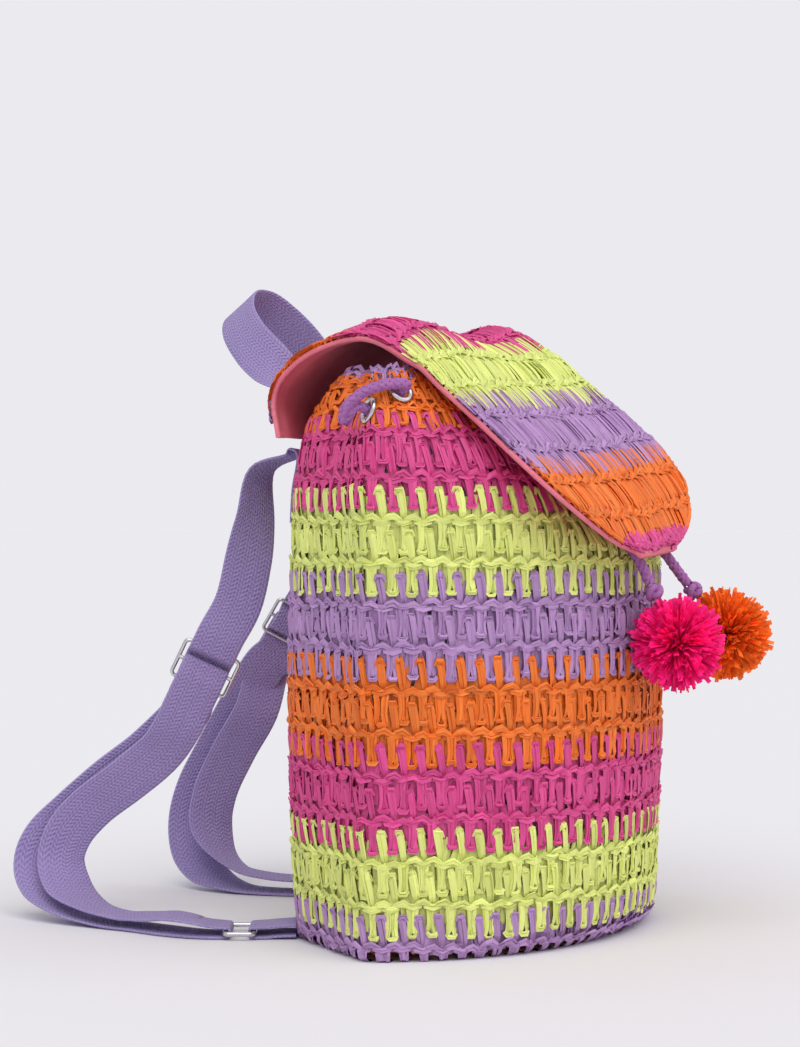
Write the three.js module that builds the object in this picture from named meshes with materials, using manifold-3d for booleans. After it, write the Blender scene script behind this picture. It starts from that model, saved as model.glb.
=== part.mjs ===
// A child's crocheted raffia backpack: striped wall, lined flap, drawcord mouth with pom-poms, webbing straps.
// Millimetres, +Z up. The front faces -Y, the wearer's back +Y. The origin is the middle of the base, on the floor.
import * as THREE from 'three';
import Module from 'manifold-3d';

const wasm = await Module();
wasm.setup();

// Driving dimensions of the bag body
const frontRadius = 148;
const frontDepth = 78;
const halfWidth = 130.7;
const backCorner = [-80, 73];
const backDepth = 80;
const mouthHeight = 286;
const shoulderHeight = 212;
const frontShoulderDrop = 17;
const bulge = 4;
const footAtSides = 5;
const footAtFront = 18;
const footAtBack = 9;

// Crochet
const roundHeight = 20.3;
const firstRound = 6;
const stitchesRound = 70;
const columns = 48;
const wallThickness = 2.6;
const ridgeProud = 1.8;
const fingerReach = 4;
const bandGap = 0.9;
const liningGap = 1.1;
const liningThickness = 0.9;

// Flap
const flapHalfWidth = 95;
const flapHingeHalfWidth = 86;
const flapLength = 265;
const flapRoundHeight = 23.5;
const flapFirstRound = 8.5;
const flapTipReach = 67;
const flapTipInset = 2;
const flapColumns = 16;
const flapThickness = 2.6;
const flapLiningThickness = 1;
const flapEdge = 2.5;

// Mouth hardware and cord
const eyeletHeight = 271;
const foldedEyeletHeight = 262;
const eyeletFlange = 6.8;
const eyeletBore = 3.9;
const eyeletWall = 0.5;
const cordDiameter = 6;
const pomDiameter = 46;

// Webbing and its hardware
const webbingWidth = 25;
const webbingThickness = 1.4;
const wire = 2.5;
const ringLength = 17;
const sliderLength = 23;
const sliderPlate = 1.8;
const hardwareSlack = 1.5;

// Colours
const lilac = '#aa82be';
const lime = '#dee682';
const pink = '#d6488c';
const orange = '#ec7328';
const webbingLilac = '#8573bd';
const cordLilac = '#a070aa';
const coral = '#e16e82';
const mauveGrey = '#b5a3b3';
const silver = '#c9cacb';
const magenta = '#d71478';

const bag = new THREE.Group();

function addMesh(name, geometry, color, roughness = 0.75, metalness = 0) {
  const mesh = new THREE.Mesh(geometry, new THREE.MeshStandardMaterial({ color, roughness, metalness }));
  mesh.name = name;
  bag.add(mesh);
  return mesh;
}

const clamp01 = (x) => Math.min(1, Math.max(0, x));
const smooth = (x) => clamp01(x) ** 2 * (3 - 2 * clamp01(x));
const mix = (a, b, t) => a + (b - a) * t;

// A smooth curve through keys [parameter, value, value ...], read at one parameter
function throughKeys(keys, t) {
  const last = keys.length - 1;
  let k = 0;
  while (k < last - 1 && t > keys[k + 1][0]) k += 1;
  const [before, a, b, after] = [keys[Math.max(k - 1, 0)], keys[k], keys[k + 1], keys[Math.min(k + 2, last)]];
  const span = b[0] - a[0];
  const x = (t - a[0]) / span;
  return a.slice(1).map((value, i) => {
    const slopeA = ((b[i + 1] - before[i + 1]) / (b[0] - before[0])) * span;
    const slopeB = ((after[i + 1] - a[i + 1]) / (after[0] - a[0])) * span;
    const h = x * x * (3 - 2 * x);
    return value * (1 - h) + b[i + 1] * h + slopeA * x * (1 - x) ** 2 - slopeB * x * x * (1 - x);
  });
}

// Plan of the full bag, as a half outline from the middle of the front by the -X side to the middle of the back
const creaseAngle = Math.asin(halfWidth / frontRadius);
const crease = [-halfWidth, frontRadius - frontDepth - frontRadius * Math.cos(creaseAngle)];
const arcLength = frontRadius * creaseAngle;
const quarterLength = Math.hypot(backCorner[0] - crease[0], backCorner[1] - crease[1]);
const panelLength = Math.hypot(backCorner[0], backDepth - backCorner[1]);
const halfLength = arcLength + quarterLength + panelLength;
const halfStitches = stitchesRound / 2;
const pitch = halfLength / halfStitches;

function rawPlan(s) {
  const side = s < 0 || s > halfStitches ? -1 : 1;
  let along = Math.abs(s) * pitch;
  if (along > halfLength) along = 2 * halfLength - along;
  let point;
  if (along < arcLength) {
    const angle = along / frontRadius;
    point = [-frontRadius * Math.sin(angle), frontRadius - frontDepth - frontRadius * Math.cos(angle)];
  } else if (along < arcLength + quarterLength) {
    const t = (along - arcLength) / quarterLength;
    point = [mix(crease[0], backCorner[0], t), mix(crease[1], backCorner[1], t)];
  } else {
    const t = (along - arcLength - quarterLength) / panelLength;
    point = [mix(backCorner[0], 0, t), mix(backCorner[1], backDepth, t)];
  }
  return [point[0] * side, point[1]];
}

// Corners are rounded by averaging the outline over a few stitches
const creaseStitch = arcLength / pitch;
const cornerStitch = (arcLength + quarterLength) / pitch;
function plan(s) {
  const reach = s < (creaseStitch + cornerStitch) / 2 ? 0.8 : 2.6;
  const sum = [0, 0];
  for (let i = -2; i <= 2; i += 1) {
    const [x, y] = rawPlan(s + (i * reach) / 2);
    sum[0] += x / 5;
    sum[1] += y / 5;
  }
  return sum;
}

// The gathered mouth: stitch number, x and y. The side folds inward just behind the crease.
const mouthKeys = [
  [-6, 46, 11], [0, 0, 17], [6, -46, 11], [10, -72, 7], [13, -90, 5], [15.5, -103, 5], [17, -103, 10],
  [19, -91, 11], [20.6, -82, 15], [22.4, -88, 25], [25, -73, 36], [30, -40, 40], [35, 0, 41], [40, 40, 40],
];

// The outer face of the wall: s counts stitches from the middle of the front, v is the height along the wall
function wallPoint(stitch, v) {
  const turned = ((stitch % stitchesRound) + stitchesRound) % stitchesRound;
  const mirrored = turned > halfStitches;
  const s = mirrored ? stitchesRound - turned : turned;
  const frontness = 0.5 + 0.5 * Math.cos((Math.min(s, creaseStitch) / creaseStitch) * Math.PI);
  const backness = smooth((s - creaseStitch) / (halfStitches - creaseStitch));
  const foot = footAtSides + (footAtFront - footAtSides) * frontness + (footAtBack - footAtSides) * backness;
  const [x0, y0] = plan(s);
  const [x1, y1] = throughKeys(mouthKeys, s);
  const underFlap = smooth(1.3 - s / 9);
  const shoulder = shoulderHeight - frontShoulderDrop * underFlap;
  const rise = clamp01((v - shoulder) / (mouthHeight - shoulder));
  const curve = 2 - 0.85 * underFlap;
  let x = mix(x0, x1, rise ** curve);
  let y = mix(y0, y1, rise ** (curve + 2 * smooth((s - creaseStitch - 2) / 4)));
  let z = v;
  let inset = -bulge * Math.sin(clamp01(v / 250) * Math.PI) * smooth(Math.abs(s - creaseStitch) / 8);
  if (v < foot) {
    const angle = Math.min((foot - v) / foot, Math.PI / 2);
    z = foot * (1 - Math.sin(angle));
    inset += foot * (1 - Math.cos(angle));
  }
  const reach = Math.hypot(x0 / halfWidth, y0 / backDepth);
  x -= (inset * x0) / halfWidth / reach;
  y -= (inset * y0) / backDepth / reach;
  return new THREE.Vector3(mirrored ? -x : x, y, z);
}

function surfaceNormal(surface, a, b, stepA, stepB) {
  const du = surface(a + stepA, b).sub(surface(a - stepA, b));
  const dv = surface(a, b + stepB).sub(surface(a, b - stepB));
  return du.cross(dv).normalize();
}

// A point of the wall, moved out along its normal
function wall(stitch, v, out = 0) {
  const normal = surfaceNormal(wallPoint, stitch, v, 0.6, 1.5).negate();
  return wallPoint(stitch, v).addScaledVector(normal, out);
}

// Closed meshes from a grid of points whose section closes on itself; around says if the columns do too.
// Each hole [outer row, inner row, column] takes out one face of each skin and walls the passage.
function sectionSolid(rows, around, holes = []) {
  const rowCount = rows.length;
  const columnCount = rows[0].length;
  const points = rows.flat();
  const faces = [];
  const at = (j, i) => (j % rowCount) * columnCount + (i % columnCount);
  const quad = (a, b, c, d) => faces.push(a, b, c, a, c, d);
  const open = new Set(holes.flatMap(([outer, inner, i]) => [`${outer},${i}`, `${inner},${i}`]));
  const spans = around ? columnCount : columnCount - 1;
  for (let j = 0; j < rowCount; j += 1) {
    for (let i = 0; i < spans; i += 1) {
      if (!open.has(`${j},${i}`)) quad(at(j, i), at(j, i + 1), at(j + 1, i + 1), at(j + 1, i));
    }
  }
  for (const [outer, inner, i] of holes) {
    const rim = [at(outer, i), at(outer, i + 1), at(outer + 1, i + 1), at(outer + 1, i)];
    const back = [at(inner + 1, i), at(inner + 1, i + 1), at(inner, i + 1), at(inner, i)];
    for (let k = 0; k < 4; k += 1) {
      const next = (k + 1) % 4;
      quad(rim[k], rim[next], back[next], back[k]);
    }
  }
  if (!around) {
    const half = rowCount / 2;
    for (let j = 0; j < half - 1; j += 1) {
      const [a, b] = [j, j + 1];
      const [c, d] = [rowCount - 1 - (j + 1), rowCount - 1 - j];
      quad(at(a, 0), at(b, 0), at(c, 0), at(d, 0));
      const end = columnCount - 1;
      quad(at(d, end), at(c, end), at(b, end), at(a, end));
    }
  }
  return outward(solidFrom(points, faces));
}

function solidFrom(points, faces) {
  const geometry = new THREE.BufferGeometry();
  const positions = points.flatMap((p) => [p.x, p.y, p.z]);
  geometry.setAttribute('position', new THREE.Float32BufferAttribute(positions, 3));
  geometry.setIndex(faces);
  return geometry;
}

// Turns a closed geometry so that its faces point out
function outward(geometry) {
  const position = geometry.getAttribute('position');
  const index = geometry.getIndex();
  const [a, b, c] = [new THREE.Vector3(), new THREE.Vector3(), new THREE.Vector3()];
  let volume = 0;
  for (let i = 0; i < index.count; i += 3) {
    a.fromBufferAttribute(position, index.getX(i));
    b.fromBufferAttribute(position, index.getX(i + 1));
    c.fromBufferAttribute(position, index.getX(i + 2));
    volume += a.dot(b.cross(c));
  }
  if (volume < 0) {
    for (let i = 0; i < index.count; i += 3) {
      const first = index.getX(i);
      index.setX(i, index.getX(i + 2));
      index.setX(i + 2, first);
    }
  }
  return geometry;
}

function toManifold(geometry) {
  const mesh = new wasm.Mesh({
    numProp: 3,
    vertProperties: new Float32Array(geometry.getAttribute('position').array),
    triVerts: new Uint32Array(geometry.getIndex().array),
  });
  return new wasm.Manifold(mesh);
}

function fromManifold(solid) {
  const mesh = solid.getMesh();
  const geometry = new THREE.BufferGeometry();
  geometry.setAttribute('position', new THREE.BufferAttribute(new Float32Array(mesh.vertProperties), 3));
  geometry.setIndex(new THREE.BufferAttribute(new Uint32Array(mesh.triVerts), 1));
  return geometry;
}

// Columns run in fours; the one that can hold a gap of the crochet is narrower
const squeeze = [0, 0.25, -0.25, 0];
const columnStitch = Array.from({ length: columns }, (_, i) => ((i + squeeze[i % 4]) / columns) * stitchesRound);
const zigzag = (i, v) => v + (i % 2 ? -fingerReach : fingerReach);

// One crocheted colour band of the wall, between two heights, with a ridge on each of its rounds
function bodyBand(name, color, low, high, rounds, straight = {}) {
  const lowEdge = (i) => (straight.low ? low : zigzag(i, low)) + bandGap / 2;
  const highEdge = (i) => (straight.high ? high : zigzag(i, high)) - bandGap / 2;
  const row = (height, out) => columnStitch.map((s, i) => wall(s, height(i), out));
  const rows = [row(lowEdge, 0), row(() => rounds[0], ridgeProud)];
  const holes = [];
  if (rounds.length > 1) {
    const middle = (rounds[0] + rounds[1]) / 2;
    const gapLow = middle - 2.6;
    const gapHigh = middle + 2.6;
    rows.push(row(() => gapLow, 0.2), row(() => gapHigh, 0.2), row(() => rounds[1], ridgeProud));
    rows.push(row(highEdge, 0), row(highEdge, -wallThickness));
    if (straight.curved) rows.push(row(() => rounds[1], -wallThickness));
    rows.push(row(() => gapHigh, -wallThickness), row(() => gapLow, -wallThickness));
    for (let i = 1; i < columns; i += 4) holes.push([2, straight.curved ? 8 : 7, i]);
    if (straight.curved) rows.push(row(() => rounds[0], -wallThickness));
  } else {
    rows.push(row(highEdge, 0), row(highEdge, -wallThickness));
  }
  rows.push(row(lowEdge, -wallThickness));
  return { name, color, solid: sectionSolid(rows, true, holes) };
}

const round = (k) => firstRound + roundHeight * k;
const boundary = (k) => firstRound + roundHeight * (k - 0.5);
const wallFoot = -2;
const shoulderRounds = [262.5, 274.5];
const rimRound = 281.5;
const bands = [
  bodyBand('wall_band_1_lilac', lilac, wallFoot, boundary(1), [round(0)], { low: true }),
  bodyBand('wall_band_2_lime', lime, boundary(1), boundary(3), [round(1), round(2)]),
  bodyBand('wall_band_3_pink', pink, boundary(3), boundary(5), [round(3), round(4)]),
  bodyBand('wall_band_4_orange', orange, boundary(5), boundary(7), [round(5), round(6)]),
  bodyBand('wall_band_5_lilac', lilac, boundary(7), boundary(9), [round(7), round(8)]),
  bodyBand('wall_band_6_lime', lime, boundary(9), boundary(11), [round(9), round(10)], { curved: true }),
  bodyBand('wall_band_7_pink', pink, boundary(11), 256, [round(11), round(12)], { curved: true }),
  bodyBand('wall_band_8_orange', orange, 256.8, 278, shoulderRounds, { high: true }),
  bodyBand('wall_band_9_lilac_rim', lilac, 278, mouthHeight, [rimRound], { low: true, high: true }),
];

// Stacked loops of points, closed by a fan over the first and the last
function lidded(rows) {
  const points = rows.flat();
  const faces = [];
  for (let j = 0; j + 1 < rows.length; j += 1) {
    for (let i = 0; i < columns; i += 1) {
      const next = (i + 1) % columns;
      const [a, b] = [j * columns + i, j * columns + next];
      faces.push(a, b, b + columns, a, b + columns, a + columns);
    }
  }
  const ends = [rows[0], rows[rows.length - 1]];
  ends.forEach((loop, end) => {
    const height = loop.reduce((sum, p) => sum + p.z, 0) / columns;
    const centre = points.length;
    const start = end ? (rows.length - 1) * columns : 0;
    points.push(new THREE.Vector3(0, 0, height));
    for (let i = 0; i < columns; i += 1) {
      const next = start + ((i + 1) % columns);
      if (end) faces.push(start + i, next, centre);
      else faces.push(next, start + i, centre);
    }
  });
  return outward(solidFrom(points, faces));
}

// The crocheted base, a flat oval that the wall grows from
function baseRing(inset, height) {
  return columnStitch.map((s) => {
    const p = wallPoint(s, wallFoot);
    const reach = Math.hypot(p.x, p.y);
    return new THREE.Vector3(p.x * (1 - inset / reach), p.y * (1 - inset / reach), height(p));
  });
}
const baseEdge = 0.4;
const baseThickness = 4.6;
const baseTop = baseRing(baseEdge + 3, () => baseThickness);
const baseSide = baseRing(baseEdge, (p) => p.z + 0.3);
const baseBottom = baseRing(footAtFront * 0.7, () => 0);
addMesh('base_orange', lidded([baseTop, baseSide, baseBottom]), orange);

// The lining is a bag just inside the wall, open at the mouth
const liningOut = -wallThickness - liningGap;
const liningRise = [boundary(1), 110, 196, 205, 214, 226, 238, 248, 256, 263, 270, 277.4];
const liningFoot = baseThickness + 0.4;
const liningLow = 2.5;
function liningRow(v, out) {
  const further = v < firstRound + roundHeight ? liningLow : 0;
  return columnStitch.map((s) => wall(s, v, out - further));
}
function liningFloor(height) {
  return columnStitch.map((s) => {
    const p = wall(s, boundary(1), liningOut);
    const reach = Math.hypot(p.x, p.y);
    const inset = 14;
    return new THREE.Vector3(p.x * (1 - inset / reach), p.y * (1 - inset / reach), height);
  });
}
const liningRows = [
  liningFloor(liningFoot + liningThickness),
  ...liningRise.map((v) => liningRow(v, liningOut - liningThickness)),
  ...liningRise.map((v) => liningRow(v, liningOut)).reverse(),
  liningFloor(liningFoot),
];
const liningSolid = lidded(liningRows);

// Eyelets sit at the orange shoulder band. They come in pairs, mirrored left and right.
const eyeletPlaces = {
  front: [2.8, eyeletHeight], side_front: [14.6, eyeletHeight], side_back: [17.4, foldedEyeletHeight],
  back: [32.1, eyeletHeight],
};

function eyeletFrame(stitch, v) {
  const centre = wall(stitch, v, 0);
  const normal = surfaceNormal(wallPoint, stitch, v, 0.6, 1.5).negate();
  return { centre, normal };
}

function placed(geometry, centre, axis) {
  const turn = new THREE.Quaternion().setFromUnitVectors(new THREE.Vector3(0, 1, 0), axis);
  return geometry.applyQuaternion(turn).translate(centre.x, centre.y, centre.z);
}

// A closed mesh with its shared vertices merged
function merged(geometry) {
  const position = geometry.getAttribute('position');
  const source = geometry.getIndex();
  const seen = new Map();
  const points = [];
  const index = [];
  for (let i = 0; i < (source ?? position).count; i += 1) {
    const p = new THREE.Vector3().fromBufferAttribute(position, source ? source.getX(i) : i);
    const key = [p.x, p.y, p.z].map((x) => Math.round(x * 1e4)).join(',');
    if (!seen.has(key)) {
      seen.set(key, points.length);
      points.push(p);
    }
    index.push(seen.get(key));
  }
  const faces = [];
  for (let i = 0; i < index.length; i += 3) {
    const [a, b, c] = index.slice(i, i + 3);
    if (a !== b && b !== c && c !== a) faces.push(a, b, c);
  }
  return outward(solidFrom(points, faces));
}

const eyeletOut = 0.9;
const eyeletSheet = 0.7;
const eyeletInner = liningOut - liningThickness - 0.4;
function eyeletGeometry() {
  const barrel = eyeletBore + eyeletWall;
  const inner = eyeletFlange - 1.2;
  const profile = [
    [eyeletBore, eyeletOut + eyeletSheet], [eyeletFlange, eyeletOut + eyeletSheet], [eyeletFlange, eyeletOut],
    [barrel, eyeletOut], [barrel, eyeletInner], [inner, eyeletInner], [inner, eyeletInner - eyeletSheet],
    [eyeletBore, eyeletInner - eyeletSheet], [eyeletBore, eyeletOut + eyeletSheet],
  ];
  return merged(new THREE.LatheGeometry(profile.map(([r, n]) => new THREE.Vector2(r, n)), 10));
}

const eyelets = [];
for (const [place, [stitch, v]] of Object.entries(eyeletPlaces)) {
  eyelets.push({ name: `eyelet_${place}_left`, ...eyeletFrame(stitch, v) });
  eyelets.push({ name: `eyelet_${place}_right`, ...eyeletFrame(-stitch, v) });
}
const piercedBands = bands.slice(6, 8);
const pierced = piercedBands.map((band) => toManifold(band.solid));
let liningPierced = toManifold(liningSolid);
for (const { centre, normal } of eyelets) {
  const bore = (radius, from, to) => {
    const cylinder = new THREE.CylinderGeometry(radius, radius, to - from, 10);
    cylinder.translate(0, (from + to) / 2, 0);
    return toManifold(placed(merged(cylinder), centre, normal));
  };
  const hole = bore(eyeletBore + eyeletWall + 0.6, -14, 8);
  const innerSeat = bore(eyeletFlange - 0.8, -14, eyeletInner + 0.1);
  const seat = bore(eyeletFlange + 0.4, eyeletOut - 0.35, 9);
  pierced.forEach((solid, k) => {
    pierced[k] = solid.subtract(hole).subtract(innerSeat).subtract(seat);
  });
  liningPierced = liningPierced.subtract(hole).subtract(innerSeat);
}
piercedBands.forEach((band, k) => {
  band.solid = fromManifold(pierced[k]);
});
for (const band of bands) addMesh(band.name, band.solid, band.color);
addMesh('body_lining', fromManifold(liningPierced), mauveGrey, 0.9);
for (const eyelet of eyelets) {
  addMesh(eyelet.name, placed(eyeletGeometry(), eyelet.centre, eyelet.normal), silver, 0.25, 1);
}

// Flap: middle line by length [l, y, height above the mouth], and how far its sides hang, curl back, skew, tilt and wave
const flapKeys = [
  [0, 86.5, -34], [16, 88.5, -18], [31, 84, -4], [52, 69, 11], [78, 47, 22], [102, 24, 21], [126, 2, 8],
  [149.5, -14.5, -7], [173, -33, -23], [196.5, -52, -40], [220, -69, -56], [243.5, -84, -73], [267, -96, -92.5],
];
const flapSideKeys = [
  [0, 0, 12, 0, 0, 0], [23, 0, 12, 0, 0, 0], [45, -1, 9, 7, 3, 2], [80, 0, 8, 12, 8, 6], [110, 3, 5, 10, 9, 5],
  [135, 0, 3, 6, 6, 1], [200, -3, 2, 5, 6, 0], [270, -4, 0, 8, 5, 0],
];

// The flap's tip is a long round, cut off just short of its point
function flapHalf(l) {
  const widened = mix(flapHingeHalfWidth, flapHalfWidth, smooth(l / 70));
  const past = clamp01((l - (flapLength + flapTipInset - flapTipReach)) / flapTipReach);
  return widened * Math.sqrt(1 - past ** 2.5);
}

function flapPoint(x, l) {
  const [y, aboveMouth] = throughKeys(flapKeys, l);
  const [sag, curl, skew, tilt, wave] = throughKeys(flapSideKeys, l);
  const share = x / flapHalfWidth;
  const rise = tilt * share - sag * share ** 2 - wave * Math.sin(Math.PI * share);
  return new THREE.Vector3(x, y - curl * share ** 2 + skew * share, mouthHeight + aboveMouth + rise);
}

function flap(x, l, out) {
  const normal = surfaceNormal(flapPoint, x, l, 2, 2).negate();
  return flapPoint(x, l).addScaledVector(normal, out);
}

function flapBand(name, color, low, high, rounds, straight = {}) {
  const edge = (l, flat) => (i) => (flat ? l : l + (i % 2 ? -fingerReach : fingerReach));
  const lowEdge = (i) => edge(low, straight.low)(i) + bandGap / 2;
  const highEdge = (i) => edge(high, straight.high)(i) - bandGap / 2;
  const row = (height, out) => {
    const points = [];
    for (let i = 0; i <= flapColumns; i += 1) {
      const l = height(i);
      points.push(flap(flapHalf(l) * ((2 * i) / flapColumns - 1), l, out));
    }
    return points;
  };
  const heights = [[lowEdge, 0]];
  rounds.forEach((r, k) => {
    if (k) heights.push([() => r - flapRoundHeight / 2, 0.2]);
    heights.push([() => r, ridgeProud]);
  });
  heights.push([highEdge, 0]);
  const outer = heights.map(([height, out]) => row(height, out));
  const inner = heights.map(([height]) => row(height, -flapThickness)).reverse();
  addMesh(name, sectionSolid([...outer, ...inner], false), color);
}

const flapRound = (k) => flapFirstRound + flapRoundHeight * k;
const flapEdgeAt = (k) => flapFirstRound + flapRoundHeight * (k - 0.5);
flapBand('flap_band_1_lilac', lilac, 0, flapEdgeAt(1), [flapRound(0)], { low: true });
flapBand('flap_band_2_orange', orange, flapEdgeAt(1), flapEdgeAt(3), [flapRound(1), flapRound(2)]);
flapBand('flap_band_3_pink', pink, flapEdgeAt(3), flapEdgeAt(5), [flapRound(3), flapRound(4)]);
flapBand('flap_band_4_lime', lime, flapEdgeAt(5), flapEdgeAt(7), [flapRound(5), flapRound(6)]);
flapBand('flap_band_5_lilac', lilac, flapEdgeAt(7), flapEdgeAt(9), [flapRound(7), flapRound(8)]);
flapBand('flap_band_6_orange', orange, flapEdgeAt(9), flapEdgeAt(11), [flapRound(9), flapRound(10)]);
flapBand('flap_band_7_pink_tip', pink, flapEdgeAt(11), flapLength, [flapLength - 3], { high: true });

// The flap's lining, whose edge shows beyond the crochet
const flapLiningOut = -flapThickness - 1.3;
function flapLining() {
  const stations = [-1];
  for (let l = flapFirstRound; l < flapLength - 5; l += flapRoundHeight / 2) stations.push(l);
  stations.push(flapLength - 4, flapLength, flapLength + flapEdge);
  const rowAt = (out) => {
    const rows = [];
    for (const l of stations) {
      const half = flapHalf(Math.min(l, flapLength)) + flapEdge;
      const points = [];
      for (let i = 0; i <= flapColumns; i += 1) points.push(flap(half * ((2 * i) / flapColumns - 1), l, out));
      rows.push(points);
    }
    return rows;
  };
  const rows = [...rowAt(flapLiningOut), ...rowAt(flapLiningOut - flapLiningThickness).reverse()];
  return sectionSolid(rows, false);
}
addMesh('flap_lining', flapLining(), coral, 0.85);

// A strip of webbing through stations { at, across }: a point, and the direction of the strip's width there
function webbing(stations, stepsEach = 2) {
  const curve = new THREE.CatmullRomCurve3(stations.map((p) => p.at), false, 'centripetal');
  const spans = stations.length - 1;
  const [w, h] = [webbingWidth / 2, webbingThickness / 2];
  const rows = [];
  for (let j = 0; j <= spans * stepsEach; j += 1) {
    const t = j / (spans * stepsEach);
    const k = Math.min(Math.floor(t * spans), spans - 1);
    const tangent = curve.getTangent(t).normalize();
    const width = stations[k].across.clone().lerp(stations[k + 1].across, t * spans - k);
    width.addScaledVector(tangent, -width.dot(tangent)).normalize();
    const normal = new THREE.Vector3().crossVectors(width, tangent);
    const corner = (a, n) => curve.getPoint(t).addScaledVector(width, a).addScaledVector(normal, n);
    rows.push([corner(-w, -h), corner(w, -h), corner(w, h), corner(-w, h)]);
  }
  const faces = [0, 1, 2, 0, 2, 3];
  for (let j = 0; j + 1 < rows.length; j += 1) {
    for (let i = 0; i < 4; i += 1) {
      const [a, b] = [j * 4 + i, j * 4 + ((i + 1) % 4)];
      faces.push(a, a + 4, b + 4, a, b + 4, b);
    }
  }
  const last = (rows.length - 1) * 4;
  faces.push(last, last + 2, last + 1, last, last + 3, last + 2);
  return outward(solidFrom(rows.flat(), faces));
}

function cord(points, steps) {
  const curve = new THREE.CatmullRomCurve3(points, false, 'centripetal');
  const section = new THREE.Shape();
  section.absarc(0, 0, cordDiameter / 2, 0, 2 * Math.PI);
  return merged(new THREE.ExtrudeGeometry(section, { extrudePath: curve, steps, curveSegments: 4, bevelEnabled: false }));
}

// The drawcord: through an eyelet along its own axis, then on inside or outside the wall
const eyeletAt = (name) => eyelets.find((e) => e.name === name);
const through = (name, out) => {
  const { centre, normal } = eyeletAt(name);
  return centre.clone().addScaledVector(normal, out);
};
const passage = (name, from, to) => [0, 1 / 3, 2 / 3, 1].map((t) => through(name, mix(from, to, t)));
const inside = (stitch, v, depth) => wall(stitch, v, -depth);
const outside = (stitch, v, lift) => wall(stitch, v, lift);

function lacingHalf(side, mirror) {
  const at = (s) => s * mirror;
  const loop = [[-119, -1, 274], [-123, 8, 270], [-125.5, 15, 263], [-123.5, 17, 256.5]];
  return [
    ...passage(`eyelet_front_${side}`, 3, -8), inside(at(5), eyeletHeight, 13), inside(at(9), eyeletHeight, 12),
    inside(at(12), eyeletHeight, 12), ...passage(`eyelet_side_front_${side}`, -8, 7),
    ...loop.map(([x, y, z]) => new THREE.Vector3(x * mirror, y, z)),
    ...passage(`eyelet_side_back_${side}`, 8, -8), inside(at(21), eyeletHeight, 14), inside(at(24), eyeletHeight, 15),
    inside(at(28), eyeletHeight, 14), ...passage(`eyelet_back_${side}`, -9, 4), outside(at(33.2), eyeletHeight, 5.6),
  ];
}
const lacing = [...lacingHalf('left', 1), ...lacingHalf('right', -1).reverse()];
addMesh('drawcord_lacing', cord(lacing, 80), cordLilac, 0.7);

// The two free tails hang from the front eyelets, under the flap, to a knot and a pom-pom each
const tailLift = ridgeProud + cordDiameter / 2 + 0.5;
const tailRoutes = {
  left: { stitches: [2.7, 2.3, 1.9, 1.6, 1.5], free: [[-12.5, -87, 193], [-10.8, -91.2, 185.3], [-9.7, -94.3, 178]] },
  right: { stitches: [-2.9, -3, -3.1, -3.2, -3.2], free: [[31, -86.5, 192], [35.4, -91.6, 183.1], [38.3, -95.6, 176.8]] },
};
const tailHeights = [261, 247, 233, 219, 207];
const knotLength = 9;
const pomColors = { left: magenta, right: orange };
for (const [side, { stitches, free }] of Object.entries(tailRoutes)) {
  const start = through(`eyelet_front_${side}`, 3.4);
  const lead = through(`eyelet_front_${side}`, 5.2);
  const alongWall = stitches.map((stitch, k) => outside(stitch, tailHeights[k], tailLift));
  const route = [start, lead, ...alongWall, ...free.map((p) => new THREE.Vector3(...p))];
  addMesh(`drawcord_tail_${side}`, cord(route, 24), cordLilac, 0.7);
  const end = route[route.length - 1];
  const down = end.clone().sub(route[route.length - 2]).normalize();
  const axis = down.clone().negate();
  const knotProfile = [[0, 0], [4, 0.6], [5.6, 3], [5.2, 6], [3.6, knotLength], [0, knotLength]];
  const knot = merged(new THREE.LatheGeometry(knotProfile.map(([r, n]) => new THREE.Vector2(r, n)), 12));
  const knotBottom = end.clone().addScaledVector(down, 0.3 + knotLength);
  addMesh(`drawcord_knot_${side}`, placed(knot, knotBottom, axis), cordLilac, 0.8);
  const pomCentre = knotBottom.clone().addScaledVector(down, 0.4 + pomDiameter / 2);
  const pom = merged(new THREE.SphereGeometry(pomDiameter / 2, 14, 10));
  addMesh(`pompom_${side}`, placed(pom, pomCentre, axis), pomColors[side], 0.8);
}

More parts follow.
